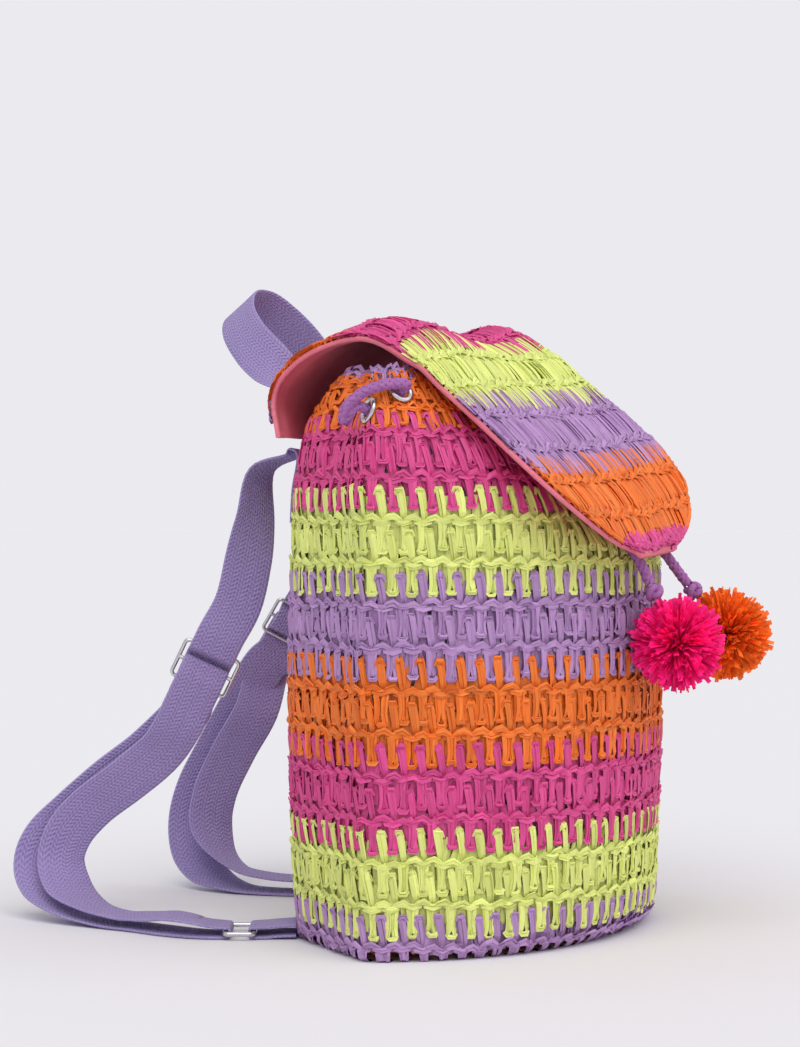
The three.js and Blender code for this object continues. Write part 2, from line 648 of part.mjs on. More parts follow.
// Straps, worked out for the -X side and mirrored for the other; each loop's points are its own.
// hang is the width direction of the hanging webbing, heading the way from the loop through the ring to the bag.
const sideways = new THREE.Vector3(1, 0, 0);
const vector = ([x, y, z]) => new THREE.Vector3(x, y, z);
const strapLift = ridgeProud + 1.3 + webbingThickness / 2;
const strapStitch = 29.1;
const ringHeight = webbingThickness + 0.6 + wire / 2;
const barReach = (ringLength - wire) / 2;
const wrap = wire / 2 + 0.35 + webbingThickness / 2;
const turn = wrap * 0.85;
const loops = {
  left: {
    slider: [-62, 134, 132.5], ring: [-92, 94], hang: [0.469, -0.883, 0], heading: [0.469, -0.883, 0],
    fall: [[-56, 103, 236], [-55, 108, 210], [-55, 112, 189], [-55.5, 118, 166]],
    outer: [[-60, 147, 109], [-65, 166, 89.5], [-71, 187, 73], [-77, 207, 55], [-82.5, 221, 40], [-85.5, 224.5, 28],
      [-90, 216, 15.5], [-94, 198, 5.5], [-94.5, 178, 1.8], [-91, 150, 1], [-90, 125, 1]],
    inner: [[-91, 111, 12], [-91, 127, 10], [-94, 147, 7], [-96, 164, 6.5], [-95, 183, 9.5], [-90.5, 200.5, 18],
      [-85, 209.5, 30.5], [-83, 206, 44], [-79.5, 194.5, 58], [-74, 176, 72.5], [-68.5, 157, 89]],
  },
  right: {
    slider: [-58, 150, 150], ring: [-62, 100], hang: [-0.469, -0.883, 0], heading: [-0.42, -0.908, 0],
    fall: [[-57, 105, 240], [-57, 114, 220], [-57, 124, 200], [-57, 134, 180]],
    outer: [[-56, 168, 128], [-55, 183, 105], [-54, 199, 78], [-52, 211, 55], [-50, 215, 36], [-46, 210, 20],
      [-42, 196, 8], [-40, 176, 2.2], [-43, 155, 1], [-49, 136, 1]],
    inner: [[-53, 122, 8], [-48, 138, 8.5], [-43, 158, 9.5], [-41, 176, 13], [-43, 190, 22], [-47, 199, 37],
      [-49, 197, 55], [-51, 186, 78], [-53, 172, 102]],
  },
};

// The slider stands square to the strap: down runs along the strap, out points to the side that shows
function sliderFrame({ slider, fall, outer, hang }) {
  const down = vector(outer[0]).sub(vector(fall[3])).normalize();
  const across = vector(hang).addScaledVector(down, -vector(hang).dot(down)).normalize();
  const out = new THREE.Vector3().crossVectors(down, across).normalize();
  if (out.x > 0) out.negate();
  return { centre: vector(slider), down, across, out };
}

// The ring lies flat. Bars [distance along the heading] carry the strap and the tab.
function ringFrame({ ring, heading, hang }) {
  const along = vector(heading);
  const across = new THREE.Vector3(-along.y, along.x, 0).multiplyScalar(hang[0] > 0 ? 1 : -1);
  const at = (t, z) => new THREE.Vector3(ring[0], ring[1], ringHeight + z).addScaledVector(along, t);
  return { along, across, at };
}

function strapStations(loop) {
  const { centre, down, across, out } = sliderFrame(loop);
  const atSlider = ([t, n]) => ({ at: centre.clone().addScaledVector(down, t).addScaledVector(out, n), across });
  const bar = (sliderLength - wire) / 2;
  const top = wall(strapStitch, 242, strapLift);
  const fold = [[0, 3.2, 3], [0, 7, 0.4]].map((p) => top.clone().add(vector(p)));
  const patch = [208, 225].map((v) => wall(strapStitch, v, strapLift));
  const alongWall = wall(strapStitch + 1, 230, 0).sub(wall(strapStitch - 1, 230, 0)).setZ(0).normalize();
  const hang = vector(loop.hang);
  const ring = ringFrame(loop);
  const outerAcross = (k) => hang.clone().lerp(ring.across, smooth((k - 5) / 3.5));
  const innerAcross = (k) => ring.across.clone().lerp(hang, smooth((k - 2.5) / 3.5));
  const atRing = ([t, z]) => ({ at: ring.at(t - barReach, z), across: ring.across });
  const through = [
    [-bar - 9, 2.3], [-bar, 2.1], [-bar + 1.7, 1.95], [-bar + 2.9, 0.9], [-bar + 3.8, -0.6], [-4.6, -3.3], [-1.8, -3.9],
    [1.8, -3.9], [4.6, -3.3], [bar - 3.8, -0.6], [bar - 2.9, 0.9], [bar - 1.7, 1.95], [bar, 2.1], [bar + 8, 0.4],
  ];
  const sewnEnd = [
    [bar + 22, 5.7], [bar + 10, 5.6], [bar, 5.5], [7, 5.4], [3.5, 4.4], [1.6, 3], [0, 2], [-1.6, 1.6], [-2.4, 0.4],
    [-2.3, -0.9], [-1.2, -1.85], [0.2, -2], [1.7, -1.6], [2.6, -0.3], [3.4, 1.3], [5, 3], [8, 3.75], [bar, 3.85],
    [bar + 8, 3.6], [bar + 17, 3],
  ];
  return [
    ...[...patch, top, ...fold].map((at) => ({ at, across: alongWall })),
    ...loop.fall.map((p, k) => ({ at: vector(p), across: alongWall.clone().lerp(across, smooth((k + 1) / 4)) })),
    ...through.map(atSlider),
    ...loop.outer.map((p, k) => ({ at: vector(p), across: outerAcross(k) })),
    ...[[-9, -wrap], [0, -wrap], [turn, -turn], [wrap, 0], [turn, turn], [0, wrap], [-8, wrap + 0.8]].map(atRing),
    ...loop.inner.map((p, k) => ({ at: vector(p), across: innerAcross(k) })),
    ...sewnEnd.map(atSlider),
  ];
}

function frameSolid(length, bars, thickness) {
  const slotHalf = webbingWidth / 2 + hardwareSlack;
  const [w, l, cut] = [slotHalf + wire, length / 2, 1.5];
  const sides = [[-1, 1], [1, 1], [1, -1], [-1, -1]];
  const corners = sides.flatMap(([a, b], k) => {
    const nearSide = new THREE.Vector2(a * w, b * (l - cut));
    const nearEnd = new THREE.Vector2(a * (w - cut), b * l);
    return k % 2 ? [nearEnd, nearSide] : [nearSide, nearEnd];
  });
  const plate = new THREE.ExtrudeGeometry(new THREE.Shape(corners), { depth: thickness, bevelEnabled: false });
  let solid = toManifold(merged(plate.translate(0, 0, -thickness / 2)));
  const gap = (length - bars * wire) / (bars - 1);
  for (let k = 0; k + 1 < bars; k += 1) {
    const slot = new THREE.BoxGeometry(2 * slotHalf, gap, 3 * wire);
    slot.translate(0, -l + wire + gap / 2 + k * (gap + wire), 0);
    solid = solid.subtract(toManifold(merged(slot)));
  }
  return fromManifold(solid);
}

function oriented(geometry, x, y, z, centre) {
  return geometry.applyMatrix4(new THREE.Matrix4().makeBasis(x, y, z).setPosition(centre));
}

function mirroredIf(geometry, side) {
  return side === 'left' ? geometry : outward(geometry.applyMatrix4(new THREE.Matrix4().makeScale(-1, 1, 1)));
}

// A tab runs from the base seam round the ring's other bar and back
function tabStations(loop) {
  const { across, at } = ringFrame(loop);
  const reach = 13;
  const points = [
    [reach, -wrap + 0.6], [6, -wrap], [0, -wrap], [-turn, -turn], [-wrap, 0], [-turn, turn], [0, wrap],
    [6, wrap + 0.4], [reach, wrap + 1],
  ];
  return points.map(([t, z]) => ({ at: at(t + barReach, z), across }));
}

for (const [side, loop] of Object.entries(loops)) {
  const { centre, down, across, out } = sliderFrame(loop);
  addMesh(`shoulder_strap_${side}`, mirroredIf(webbing(strapStations(loop)), side), webbingLilac);
  const slider = oriented(frameSolid(sliderLength, 3, sliderPlate), across, down, out, centre);
  addMesh(`slider_${side}`, mirroredIf(outward(slider), side), silver, 0.2, 1);
  const ringAxes = ringFrame(loop);
  const flatRing = frameSolid(ringLength, 2, wire);
  const ring = oriented(flatRing, ringAxes.across, ringAxes.along, new THREE.Vector3(0, 0, 1), ringAxes.at(0, 0));
  addMesh(`ring_${side}`, mirroredIf(outward(ring), side), silver, 0.2, 1);
  addMesh(`ring_tab_${side}`, mirroredIf(webbing(tabStations(loop)), side), webbingLilac);
}

// The handle: both ends sewn flat to the back over the flap's hinge, the loop between them leaning back
const up = new THREE.Vector3(0, -0.8, 0.6);
const handleRoute = [
  [-29, 90.2, 254], [-29, 91, 260], [-29, 92.6, 267], [-29, 99, 279], [-28, 113, 291], [-24, 130, 305],
  [-16, 142, 318], [-3, 147, 327], [10, 143, 326], [20, 133, 316], [27, 116, 300], [29, 101, 282], [29, 93.2, 268],
  [29, 91, 260], [29, 90.2, 254],
];
const handleTwist = (k) => smooth((k - 2) / 3.5) * smooth((handleRoute.length - 3 - k) / 3.5);
const handleStations = handleRoute.map((p, k) => {
  const start = k < handleRoute.length / 2 ? 1 : -1;
  return { at: vector(p), across: sideways.clone().multiplyScalar(start).lerp(up, handleTwist(k)) };
});
addMesh('handle_loop', webbing(handleStations), webbingLilac);

export default bag;
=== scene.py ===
"""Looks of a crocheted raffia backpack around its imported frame. All sizes in this file are in millimetres."""

import math

import bpy
import numpy as np
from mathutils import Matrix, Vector


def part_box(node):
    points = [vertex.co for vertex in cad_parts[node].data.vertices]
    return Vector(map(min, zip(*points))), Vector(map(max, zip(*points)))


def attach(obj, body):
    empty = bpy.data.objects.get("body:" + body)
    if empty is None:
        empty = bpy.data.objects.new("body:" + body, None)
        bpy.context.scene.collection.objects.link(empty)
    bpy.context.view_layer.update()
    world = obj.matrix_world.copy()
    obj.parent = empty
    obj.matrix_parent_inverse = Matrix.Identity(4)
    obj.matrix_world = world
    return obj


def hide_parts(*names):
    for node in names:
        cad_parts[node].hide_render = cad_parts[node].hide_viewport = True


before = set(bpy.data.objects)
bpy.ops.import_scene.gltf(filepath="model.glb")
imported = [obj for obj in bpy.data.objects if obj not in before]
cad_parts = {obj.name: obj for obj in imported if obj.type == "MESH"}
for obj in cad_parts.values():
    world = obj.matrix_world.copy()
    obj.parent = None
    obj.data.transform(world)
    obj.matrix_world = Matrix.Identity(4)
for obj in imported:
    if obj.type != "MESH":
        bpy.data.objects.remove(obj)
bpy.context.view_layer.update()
MM = 0.001
rng = np.random.default_rng(20)

# Sizes shared with the part's source
FRONT_RADIUS, FRONT_DEPTH, HALF_WIDTH = 148, 78, 130.7
BACK_CORNER, BACK_DEPTH = (-80, 73), 80
MOUTH_HEIGHT, SHOULDER_HEIGHT, FRONT_SHOULDER_DROP, BULGE = 286, 212, 17, 4
FOOT_SIDES, FOOT_FRONT, FOOT_BACK = 5, 18, 9
ROUND_HEIGHT, FIRST_ROUND, STITCHES = 20.3, 6, 70
LINING_DEPTH = 4.0
CREASE_LIFT = 1.6
FLAP_HALF, FLAP_HINGE_HALF, FLAP_LENGTH = 95, 86, 265
FLAP_ROUND, FLAP_FIRST, FLAP_TIP_REACH, FLAP_TIP_INSET = 23.5, 8.5, 67, 2
FLAP_EDGE = 2.5
EYELET_HEIGHT, FOLDED_EYELET_HEIGHT, EYELET_FLANGE, EYELET_BORE = 271, 262, 6.8, 3.9
CORD_DIAMETER = 6
WEB_WIDTH, WEB_THICKNESS = 25, 1.4
WIRE, SLIDER_WIRE, RING_LENGTH, SLIDER_LENGTH, SLACK = 2.5, 2.1, 17, 23, 1.5


def smooth(x):
    x = np.clip(x, 0, 1)
    return x * x * (3 - 2 * x)


def mix(a, b, t):
    return a + (b - a) * t


def unit(v):
    return v / np.maximum(np.linalg.norm(v, axis=-1, keepdims=True), 1e-9)


def through_keys(keys, t):
    """A smooth curve through keys (parameter, value, value ...), read at an array of parameters."""
    keys = np.array(keys, float)
    at, values = keys[:, 0], keys[:, 1:]
    last = len(at) - 1
    k = np.clip(np.searchsorted(at, t) - 1, 0, last - 1)
    before, after = np.maximum(k - 1, 0), np.minimum(k + 2, last)
    span = at[k + 1] - at[k]
    x = ((t - at[k]) / span)[..., None]
    slope_a = (values[k + 1] - values[before]) * (span / (at[k + 1] - at[before]))[..., None]
    slope_b = (values[after] - values[k]) * (span / (at[after] - at[k]))[..., None]
    h = x * x * (3 - 2 * x)
    start, end = values[k] * (1 - h), values[k + 1] * h
    return start + end + slope_a * x * (1 - x) ** 2 - slope_b * x * x * (1 - x)


# Plan of the full bag: front arc, straight quarter behind the crease, back panel
CREASE_ANGLE = math.asin(HALF_WIDTH / FRONT_RADIUS)
CREASE = (-HALF_WIDTH, FRONT_RADIUS - FRONT_DEPTH - FRONT_RADIUS * math.cos(CREASE_ANGLE))
ARC = FRONT_RADIUS * CREASE_ANGLE
QUARTER = math.hypot(BACK_CORNER[0] - CREASE[0], BACK_CORNER[1] - CREASE[1])
PANEL = math.hypot(BACK_CORNER[0], BACK_DEPTH - BACK_CORNER[1])
HALF_LENGTH = ARC + QUARTER + PANEL
HALF_STITCHES = STITCHES / 2
PITCH = HALF_LENGTH / HALF_STITCHES
CREASE_STITCH = ARC / PITCH
CORNER_STITCH = (ARC + QUARTER) / PITCH


def raw_plan(s):
    side = np.where((s < 0) | (s > HALF_STITCHES), -1.0, 1.0)
    along = np.abs(s) * PITCH
    along = np.where(along > HALF_LENGTH, 2 * HALF_LENGTH - along, along)
    angle = along / FRONT_RADIUS
    arc = (-FRONT_RADIUS * np.sin(angle), FRONT_RADIUS - FRONT_DEPTH - FRONT_RADIUS * np.cos(angle))
    t = (along - ARC) / QUARTER
    quarter = (mix(CREASE[0], BACK_CORNER[0], t), mix(CREASE[1], BACK_CORNER[1], t))
    t = (along - ARC - QUARTER) / PANEL
    panel = (mix(BACK_CORNER[0], 0, t), mix(BACK_CORNER[1], BACK_DEPTH, t))
    x = np.where(along < ARC, arc[0], np.where(along < ARC + QUARTER, quarter[0], panel[0]))
    y = np.where(along < ARC, arc[1], np.where(along < ARC + QUARTER, quarter[1], panel[1]))
    return x * side, y


def plan(s):
    reach = np.where(s < (CREASE_STITCH + CORNER_STITCH) / 2, 0.8, 2.6)
    samples = [raw_plan(s + i * reach / 2) for i in range(-2, 3)]
    return sum(x for x, _ in samples) / 5, sum(y for _, y in samples) / 5


# The gathered mouth: (stitch, x, y)
MOUTH_KEYS = [
    (-6, 46, 11), (0, 0, 17), (6, -46, 11), (10, -72, 7), (13, -90, 5), (15.5, -103, 5), (17, -103, 10),
    (19, -91, 11), (20.6, -82, 15), (22.4, -88, 25), (25, -73, 36), (30, -40, 40), (35, 0, 41), (40, 40, 40),
]


def wall_point(stitch, v):
    """The outer face of the wall. It runs on flat under the base below the foot's curve."""
    turned = np.mod(stitch, STITCHES)
    mirrored = turned > HALF_STITCHES
    s = np.where(mirrored, STITCHES - turned, turned)
    frontness = 0.5 + 0.5 * np.cos(np.minimum(s, CREASE_STITCH) / CREASE_STITCH * math.pi)
    backness = smooth((s - CREASE_STITCH) / (HALF_STITCHES - CREASE_STITCH))
    foot = FOOT_SIDES + (FOOT_FRONT - FOOT_SIDES) * frontness + (FOOT_BACK - FOOT_SIDES) * backness
    x0, y0 = plan(s)
    mouth = through_keys(MOUTH_KEYS, s)
    under_flap = smooth(1.3 - s / 9)
    shoulder = SHOULDER_HEIGHT - FRONT_SHOULDER_DROP * under_flap
    rise = np.clip((v - shoulder) / (MOUTH_HEIGHT - shoulder), 0, 1.1)
    curve = 2 - 0.85 * under_flap
    x = mix(x0, mouth[..., 0], rise**curve)
    y = mix(y0, mouth[..., 1], rise ** (curve + 2 * smooth((s - CREASE_STITCH - 2) / 4)))
    inset = -BULGE * np.sin(np.clip(v / 250, 0, 1) * math.pi) * smooth(np.abs(s - CREASE_STITCH) / 8)
    inset = inset - CREASE_LIFT * np.maximum(1 - np.abs(s - CREASE_STITCH) / 1.4, 0) * smooth((240 - v) / 40)
    angle = np.clip((foot - v) / foot, 0, math.pi / 2)
    under = np.maximum(foot * (1 - math.pi / 2) - v, 0)
    z = np.where(v < foot, foot * (1 - np.sin(angle)), v)
    inset = inset + foot * (1 - np.cos(angle)) + under
    reach = np.hypot(x0 / HALF_WIDTH, y0 / BACK_DEPTH)
    x = x - inset * x0 / HALF_WIDTH / reach
    y = y - inset * y0 / BACK_DEPTH / reach
    return np.stack([np.where(mirrored, -x, x), y, z], -1)


# The flap's middle line: (length, y, z)
FLAP_KEYS = [
    (0, 86.5, 252), (16, 88.5, 268), (31, 84, 282), (52, 69, 297), (78, 47, 308), (102, 24, 307),
    (126, 2, 294), (149.5, -14.5, 279), (173, -33, 263), (196.5, -52, 246), (220, -69, 230),
    (243.5, -84, 213), (267, -96, 193.5),
]
# How its sides lie: (length, sag, curl, skew, tilt, wave)
FLAP_SIDE_KEYS = [
    (0, 0, 12, 0, 0, 0), (23, 0, 12, 0, 0, 0), (45, -1, 9, 7, 3, 2), (80, 0, 8, 12, 8, 6),
    (110, 3, 5, 10, 9, 5), (135, 0, 3, 6, 6, 1), (200, -3, 2, 5, 6, 0), (270, -4, 0, 8, 5, 0),
]


def flap_half(length):
    widened = mix(FLAP_HINGE_HALF, FLAP_HALF, smooth(length / 70))
    past = np.clip((length - (FLAP_LENGTH + FLAP_TIP_INSET - FLAP_TIP_REACH)) / FLAP_TIP_REACH, 0, 1)
    return widened * np.sqrt(1 - past**2.5)


def flap_point(x, length):
    middle = through_keys(FLAP_KEYS, length)
    sag, curl, skew, tilt, wave = np.moveaxis(through_keys(FLAP_SIDE_KEYS, length), -1, 0)
    share = x / FLAP_HALF
    y = middle[..., 0] - curl * share**2 + skew * share
    z = middle[..., 1] - sag * share**2 + tilt * share - wave * np.sin(math.pi * share)
    return np.stack([x + 0 * length, y, z], -1)


class Surface:
    """A surface sampled on a fine grid, so that thousands of strands can be laid on it quickly."""

    def __init__(self, point, first, second, across):
        self.first, self.second = first, second
        grid = point(*np.meshgrid(first, second, indexing="ij"))
        along, up = np.gradient(grid, axis=0), np.gradient(grid, axis=1)
        normal = -unit(np.cross(along, up))
        scale = np.linalg.norm(along, axis=-1) / (first[1] - first[0]) / across
        self.table = np.concatenate([grid, normal, scale[..., None]], -1)

    def read(self, a, b):
        i = np.clip((a - self.first[0]) / (self.first[1] - self.first[0]), 0, len(self.first) - 1.001)
        j = np.clip((b - self.second[0]) / (self.second[1] - self.second[0]), 0, len(self.second) - 1.001)
        i0, j0 = i.astype(int), j.astype(int)
        u, w = (i - i0)[..., None], (j - j0)[..., None]
        low = mix(self.table[i0, j0], self.table[i0 + 1, j0], u)
        high = mix(self.table[i0, j0 + 1], self.table[i0 + 1, j0 + 1], u)
        found = mix(low, high, w)
        return found[..., :3], unit(found[..., 3:6]), found[..., 6]

    def at(self, a, b, out=0.0):
        point, normal, _ = self.read(np.asarray(a, float), np.asarray(b, float))
        return point + normal * np.asarray(out, float)[..., None]


BODY = Surface(wall_point, np.arange(-8, STITCHES + 8, 0.125), np.arange(-40, 296, 1.0), PITCH)
FLAP = Surface(flap_point, np.arange(-104, 104.1, 2.0), np.arange(-6, 292, 1.5), 1.0)


def base_point(stitch, inward):
    rim = wall_point(stitch, np.zeros_like(inward) - 2.0)
    reach = np.hypot(rim[..., 0], rim[..., 1])
    keep = np.maximum(1 - inward / reach, 0.02)
    return np.stack([rim[..., 0] * keep, rim[..., 1] * keep, np.full_like(keep, 2.6)], -1)


BASE = Surface(base_point, np.arange(-4, STITCHES + 4, 0.25), np.arange(-4, 110, 2.0), PITCH)


# Meshes and materials
def grid_faces(rows, columns, rows_close=False, columns_close=True):
    """The quads of a grid of points numbered row by row."""
    j_count = rows if rows_close else rows - 1
    i_count = columns if columns_close else columns - 1
    j, i = np.meshgrid(np.arange(j_count), np.arange(i_count), indexing="ij")
    here, there = j * columns, (j + 1) % rows * columns
    right = (i + 1) % columns
    return np.stack([here + i, here + right, there + right, there + i], -1).reshape(-1, 4)


def mesh_object(name, points, faces, uv=None, tint=None, flat=False):
    """points in millimetres, faces as rows of 3 or 4 indices."""
    mesh = bpy.data.meshes.new(name)
    mesh.vertices.add(len(points))
    mesh.vertices.foreach_set("co", (np.asarray(points) * MM).astype(np.float32).ravel())
    faces = np.asarray(faces, np.int32)
    mesh.loops.add(faces.size)
    mesh.loops.foreach_set("vertex_index", faces.ravel())
    mesh.polygons.add(len(faces))
    mesh.polygons.foreach_set("loop_start", np.arange(0, faces.size, faces.shape[1], dtype=np.int32))
    mesh.polygons.foreach_set("use_smooth", np.full(len(faces), not flat))
    mesh.update(calc_edges=True)
    if uv is not None:
        layer = mesh.uv_layers.new(name="fibre")
        layer.data.foreach_set("uv", np.asarray(uv, np.float32)[faces.ravel()].ravel())
    if tint is not None:
        mesh.attributes.new("tint", "FLOAT", "POINT").data.foreach_set("value", np.asarray(tint, np.float32))
    thing = bpy.data.objects.new(name, mesh)
    bpy.context.scene.collection.objects.link(thing)
    return thing


class Nodes:
    """Short words for building one material's nodes."""

    def __init__(self, name):
        self.material = bpy.data.materials.new(name)
        self.material.use_nodes = True
        self.tree = self.material.node_tree
        self.shader = self.tree.nodes["Principled BSDF"]

    def add(self, kind, inputs=(), **settings):
        node = self.tree.nodes.new(kind)
        for key, value in settings.items():
            setattr(node, key, value)
        for key, value in dict(inputs).items():
            self.plug(node.inputs[key], value)
        return node

    def plug(self, socket, value):
        if isinstance(value, bpy.types.NodeSocket):
            self.tree.links.new(value, socket)
        else:
            socket.default_value = value

    def math(self, operation, a, b=0.0):
        return self.add("ShaderNodeMath", {0: a, 1: b}, operation=operation).outputs[0]

    def spread(self, value, low, high, to_low, to_high):
        names = {"Value": value, "From Min": low, "From Max": high, "To Min": to_low, "To Max": to_high}
        return self.add("ShaderNodeMapRange", names).outputs[0]

    def scaled(self, vector, scale):
        return self.add("ShaderNodeVectorMath", {0: vector, 1: scale}, operation="MULTIPLY").outputs[0]

    def noise(self, vector, scale, detail=3.0, rough=0.5):
        inputs = {"Vector": vector, "Scale": scale, "Detail": detail, "Roughness": rough}
        return self.add("ShaderNodeTexNoise", inputs).outputs[0]

    def blend(self, share, a, b):
        return self.add("ShaderNodeMix", {0: share, 6: a, 7: b}, data_type="RGBA").outputs[2]

    def fibre(self):
        """The place along and across the strand or cloth, in millimetres."""
        return self.add("ShaderNodeUVMap", uv_map="fibre").outputs[0]

    def feed(self, socket, value):
        self.plug(self.shader.inputs[socket], value)

    def bump(self, height, distance, strength=1.0):
        inputs = {"Height": height, "Distance": distance * MM, "Strength": strength}
        self.feed("Normal", self.add("ShaderNodeBump", inputs).outputs[0])


def linear(rgb):
    return tuple(((c / 255 + 0.055) / 1.055) ** 2.4 if c > 10 else c / 255 / 12.92 for c in rgb) + (1.0,)


def raffia(name, rgb, deep):
    """Flat paper ribbon: fibres and creases along its length, and a tone of its own for each strand, which also
    holds painted shade on strands laid behind others and painted light on the pom-poms.
    """
    m = Nodes(name)
    uv = m.fibre()
    fibre = m.noise(m.scaled(uv, (0.09, 1.5, 1.0)), 1.0, 4.0, 0.6)
    crease = m.noise(m.scaled(uv, (0.03, 0.55, 1.0)), 1.0, 2.0)
    tint = m.add("ShaderNodeAttribute", attribute_name="tint").outputs["Fac"]
    shade = m.math("ADD", m.spread(fibre, 0.3, 0.7, 0.0, 0.35), m.spread(crease, 0.35, 0.65, -0.12, 0.3))
    tone = m.blend(shade, linear(rgb), linear(deep))
    value = m.add("ShaderNodeHueSaturation", {"Color": tone, "Value": tint, "Fac": 1.0}).outputs[0]
    m.feed("Base Color", value)
    m.feed("Roughness", 0.5)
    m.feed("Specular IOR Level", 0.42)
    m.bump(m.math("ADD", fibre, m.math("MULTIPLY", crease, 1.6)), 0.32, 0.9)
    return m.material


def webbing_material():
    """Twill webbing: zigzag columns along the strip, in two close lilacs."""
    m = Nodes("webbing")
    uv = m.fibre()
    xyz = m.add("ShaderNodeSeparateXYZ", {0: uv})
    along, across = xyz.outputs[0], xyz.outputs[1]
    zigzag = m.math("PINGPONG", across, 3.1)
    phase = m.math("ADD", m.math("MULTIPLY", along, 2.6), m.math("MULTIPLY", zigzag, 2.0))
    twill = m.math("SINE", phase)
    column = m.math("SINE", m.math("MULTIPLY", across, 4.1))
    weave = m.math("ADD", m.math("MULTIPLY", twill, 0.6), m.math("MULTIPLY", column, 0.4))
    wear = m.noise(m.scaled(uv, (0.05, 0.25, 1.0)), 1.0, 3.0)
    speckle = m.noise(m.scaled(uv, (1.1, 2.6, 1.0)), 1.0, 2.0)
    colour = m.blend(m.spread(weave, -1.0, 1.0, 0.0, 1.0), linear((132, 113, 176)), linear((176, 160, 212)))
    colour = m.blend(m.spread(speckle, 0.35, 0.65, 0.0, 0.45), colour, linear((168, 146, 194)))
    edge = m.spread(m.math("ABSOLUTE", across), 11.2, 12.4, 0.0, 0.4)
    colour = m.blend(edge, colour, linear((180, 164, 216)))
    colour = m.blend(m.spread(wear, 0.3, 0.7, 0.0, 0.3), colour, linear((148, 128, 188)))
    m.feed("Base Color", colour)
    m.feed("Roughness", 0.85)
    m.feed("Sheen Weight", 0.15)
    m.bump(m.math("ADD", weave, speckle), 0.4, 0.9)
    return m.material


def cloth(name, rgb, deep):
    """Plain weave with soft cloudy patches."""
    threads = 2.2
    m = Nodes(name)
    uv = m.fibre()
    xyz = m.add("ShaderNodeSeparateXYZ", {0: uv})
    warp = m.math("SINE", m.math("MULTIPLY", xyz.outputs[0], threads * math.pi))
    weft = m.math("SINE", m.math("MULTIPLY", xyz.outputs[1], threads * math.pi))
    weave = m.math("MULTIPLY", warp, weft)
    cloudy = m.noise(m.scaled(uv, (0.03, 0.03, 1.0)), 1.0, 4.0)
    share = m.math("ADD", m.spread(weave, -1.0, 1.0, 0.0, 0.3), m.spread(cloudy, 0.35, 0.65, 0.0, 0.5))
    m.feed("Base Color", m.blend(share, linear(rgb), linear(deep)))
    m.feed("Roughness", 0.9)
    m.bump(m.math("ADD", weave, m.math("MULTIPLY", cloudy, 4.0)), 0.25, 0.6)
    return m.material


def cord_material():
    m = Nodes("braided_cord")
    uv = m.fibre()
    thread = m.noise(m.scaled(uv, (0.9, 3.2, 1.0)), 1.0, 3.0)
    share = m.spread(thread, 0.3, 0.7, 0.0, 1.0)
    m.feed("Base Color", m.blend(share, linear((186, 122, 188)), linear((142, 84, 148))))
    m.feed("Roughness", 0.75)
    m.bump(thread, 0.3, 0.8)
    return m.material


def metal():
    m = Nodes("plated_metal")
    place = m.add("ShaderNodeTexCoord").outputs["Object"]
    haze = m.noise(place, 900.0, 3.0)
    m.feed("Roughness", m.spread(haze, 0.3, 0.7, 0.16, 0.34))
    m.feed("Base Color", m.blend(haze, linear((222, 220, 224)), linear((196, 195, 200))))
    m.feed("Metallic", 1.0)
    m.bump(haze, 0.02, 0.2)
    return m.material


RAFFIA_TONES = {
    "lilac": ((188, 148, 199), (146, 106, 158)),
    "lime": ((231, 238, 140), (194, 204, 98)),
    "pink": ((226, 82, 150), (184, 32, 106)),
    "orange": ((245, 130, 44), (212, 78, 18)),
    "magenta": ((250, 36, 142), (220, 18, 108)),
}
LOOKS = {look: (raffia(f"raffia_{look}", *tones), f"raffia_{look}") for look, tones in RAFFIA_TONES.items()}
LOOKS |= {
    "webbing": (webbing_material(), "webbing_lilac"),
    "cord": (cord_material(), "cord_lilac"),
    "mauve": (cloth("lining_mauve", (226, 212, 226), (192, 174, 192)), "lining_mauve"),
    "coral": (cloth("lining_coral", (248, 142, 160), (228, 100, 124)), "lining_coral"),
    "metal": (metal(), "metal_plated"),
}


def dress(thing, look, *nodes):
    """Gives a piece its material, and lets it stand for its CAD nodes."""
    material, slot_name = LOOKS[look]
    thing.data.materials.append(material)
    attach(thing, "root")
    if nodes:
        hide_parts(*nodes)
    return thing


# Where the eyelets stand, and the room that the stitches leave them
EYELET_PLACES = {
    "front": (2.8, EYELET_HEIGHT),
    "side_front": (14.6, EYELET_HEIGHT),
    "side_back": (17.4, FOLDED_EYELET_HEIGHT),
    "back": (32.1, EYELET_HEIGHT),
}
eyelets = {}
for place, (stitch, v) in EYELET_PLACES.items():
    for side, sign in (("left", 1), ("right", -1)):
        eyelets[f"{place}_{side}"] = BODY.read(np.array(stitch * sign % STITCHES), np.array(float(v)))[:2]


def make_room(points):
    """Presses the strands under each eyelet's flange."""
    for point, normal in eyelets.values():
        away = points - point
        height = away @ normal
        flat = away - height[:, None] * normal
        reach = np.linalg.norm(flat, axis=1)
        held = (reach < EYELET_FLANGE + 0.8) & (height > -4) & (height < 7)
        wider = np.maximum(reach, EYELET_BORE + 0.9) / np.maximum(reach, 1e-6)
        pressed = point + flat * wider[:, None] + np.minimum(height, 0.7)[:, None] * normal
        points[held] = pressed[held]


# Strands. A ribbon has a groove along it, which the second list moves sideways
SECTION = np.array([
    (-1, 0), (-0.75, 0.55), (-0.1, 0.62), (0.02, 0.18), (0.14, 0.56), (0.96, 0.25), (0, -0.5),
])
GROOVE = np.array([0, 0, 1, 1, 1, 0, 0])
PLAIN_SECTION = np.array([(-1, 0), (0, 0.6), (1, 0), (0, -0.5)])


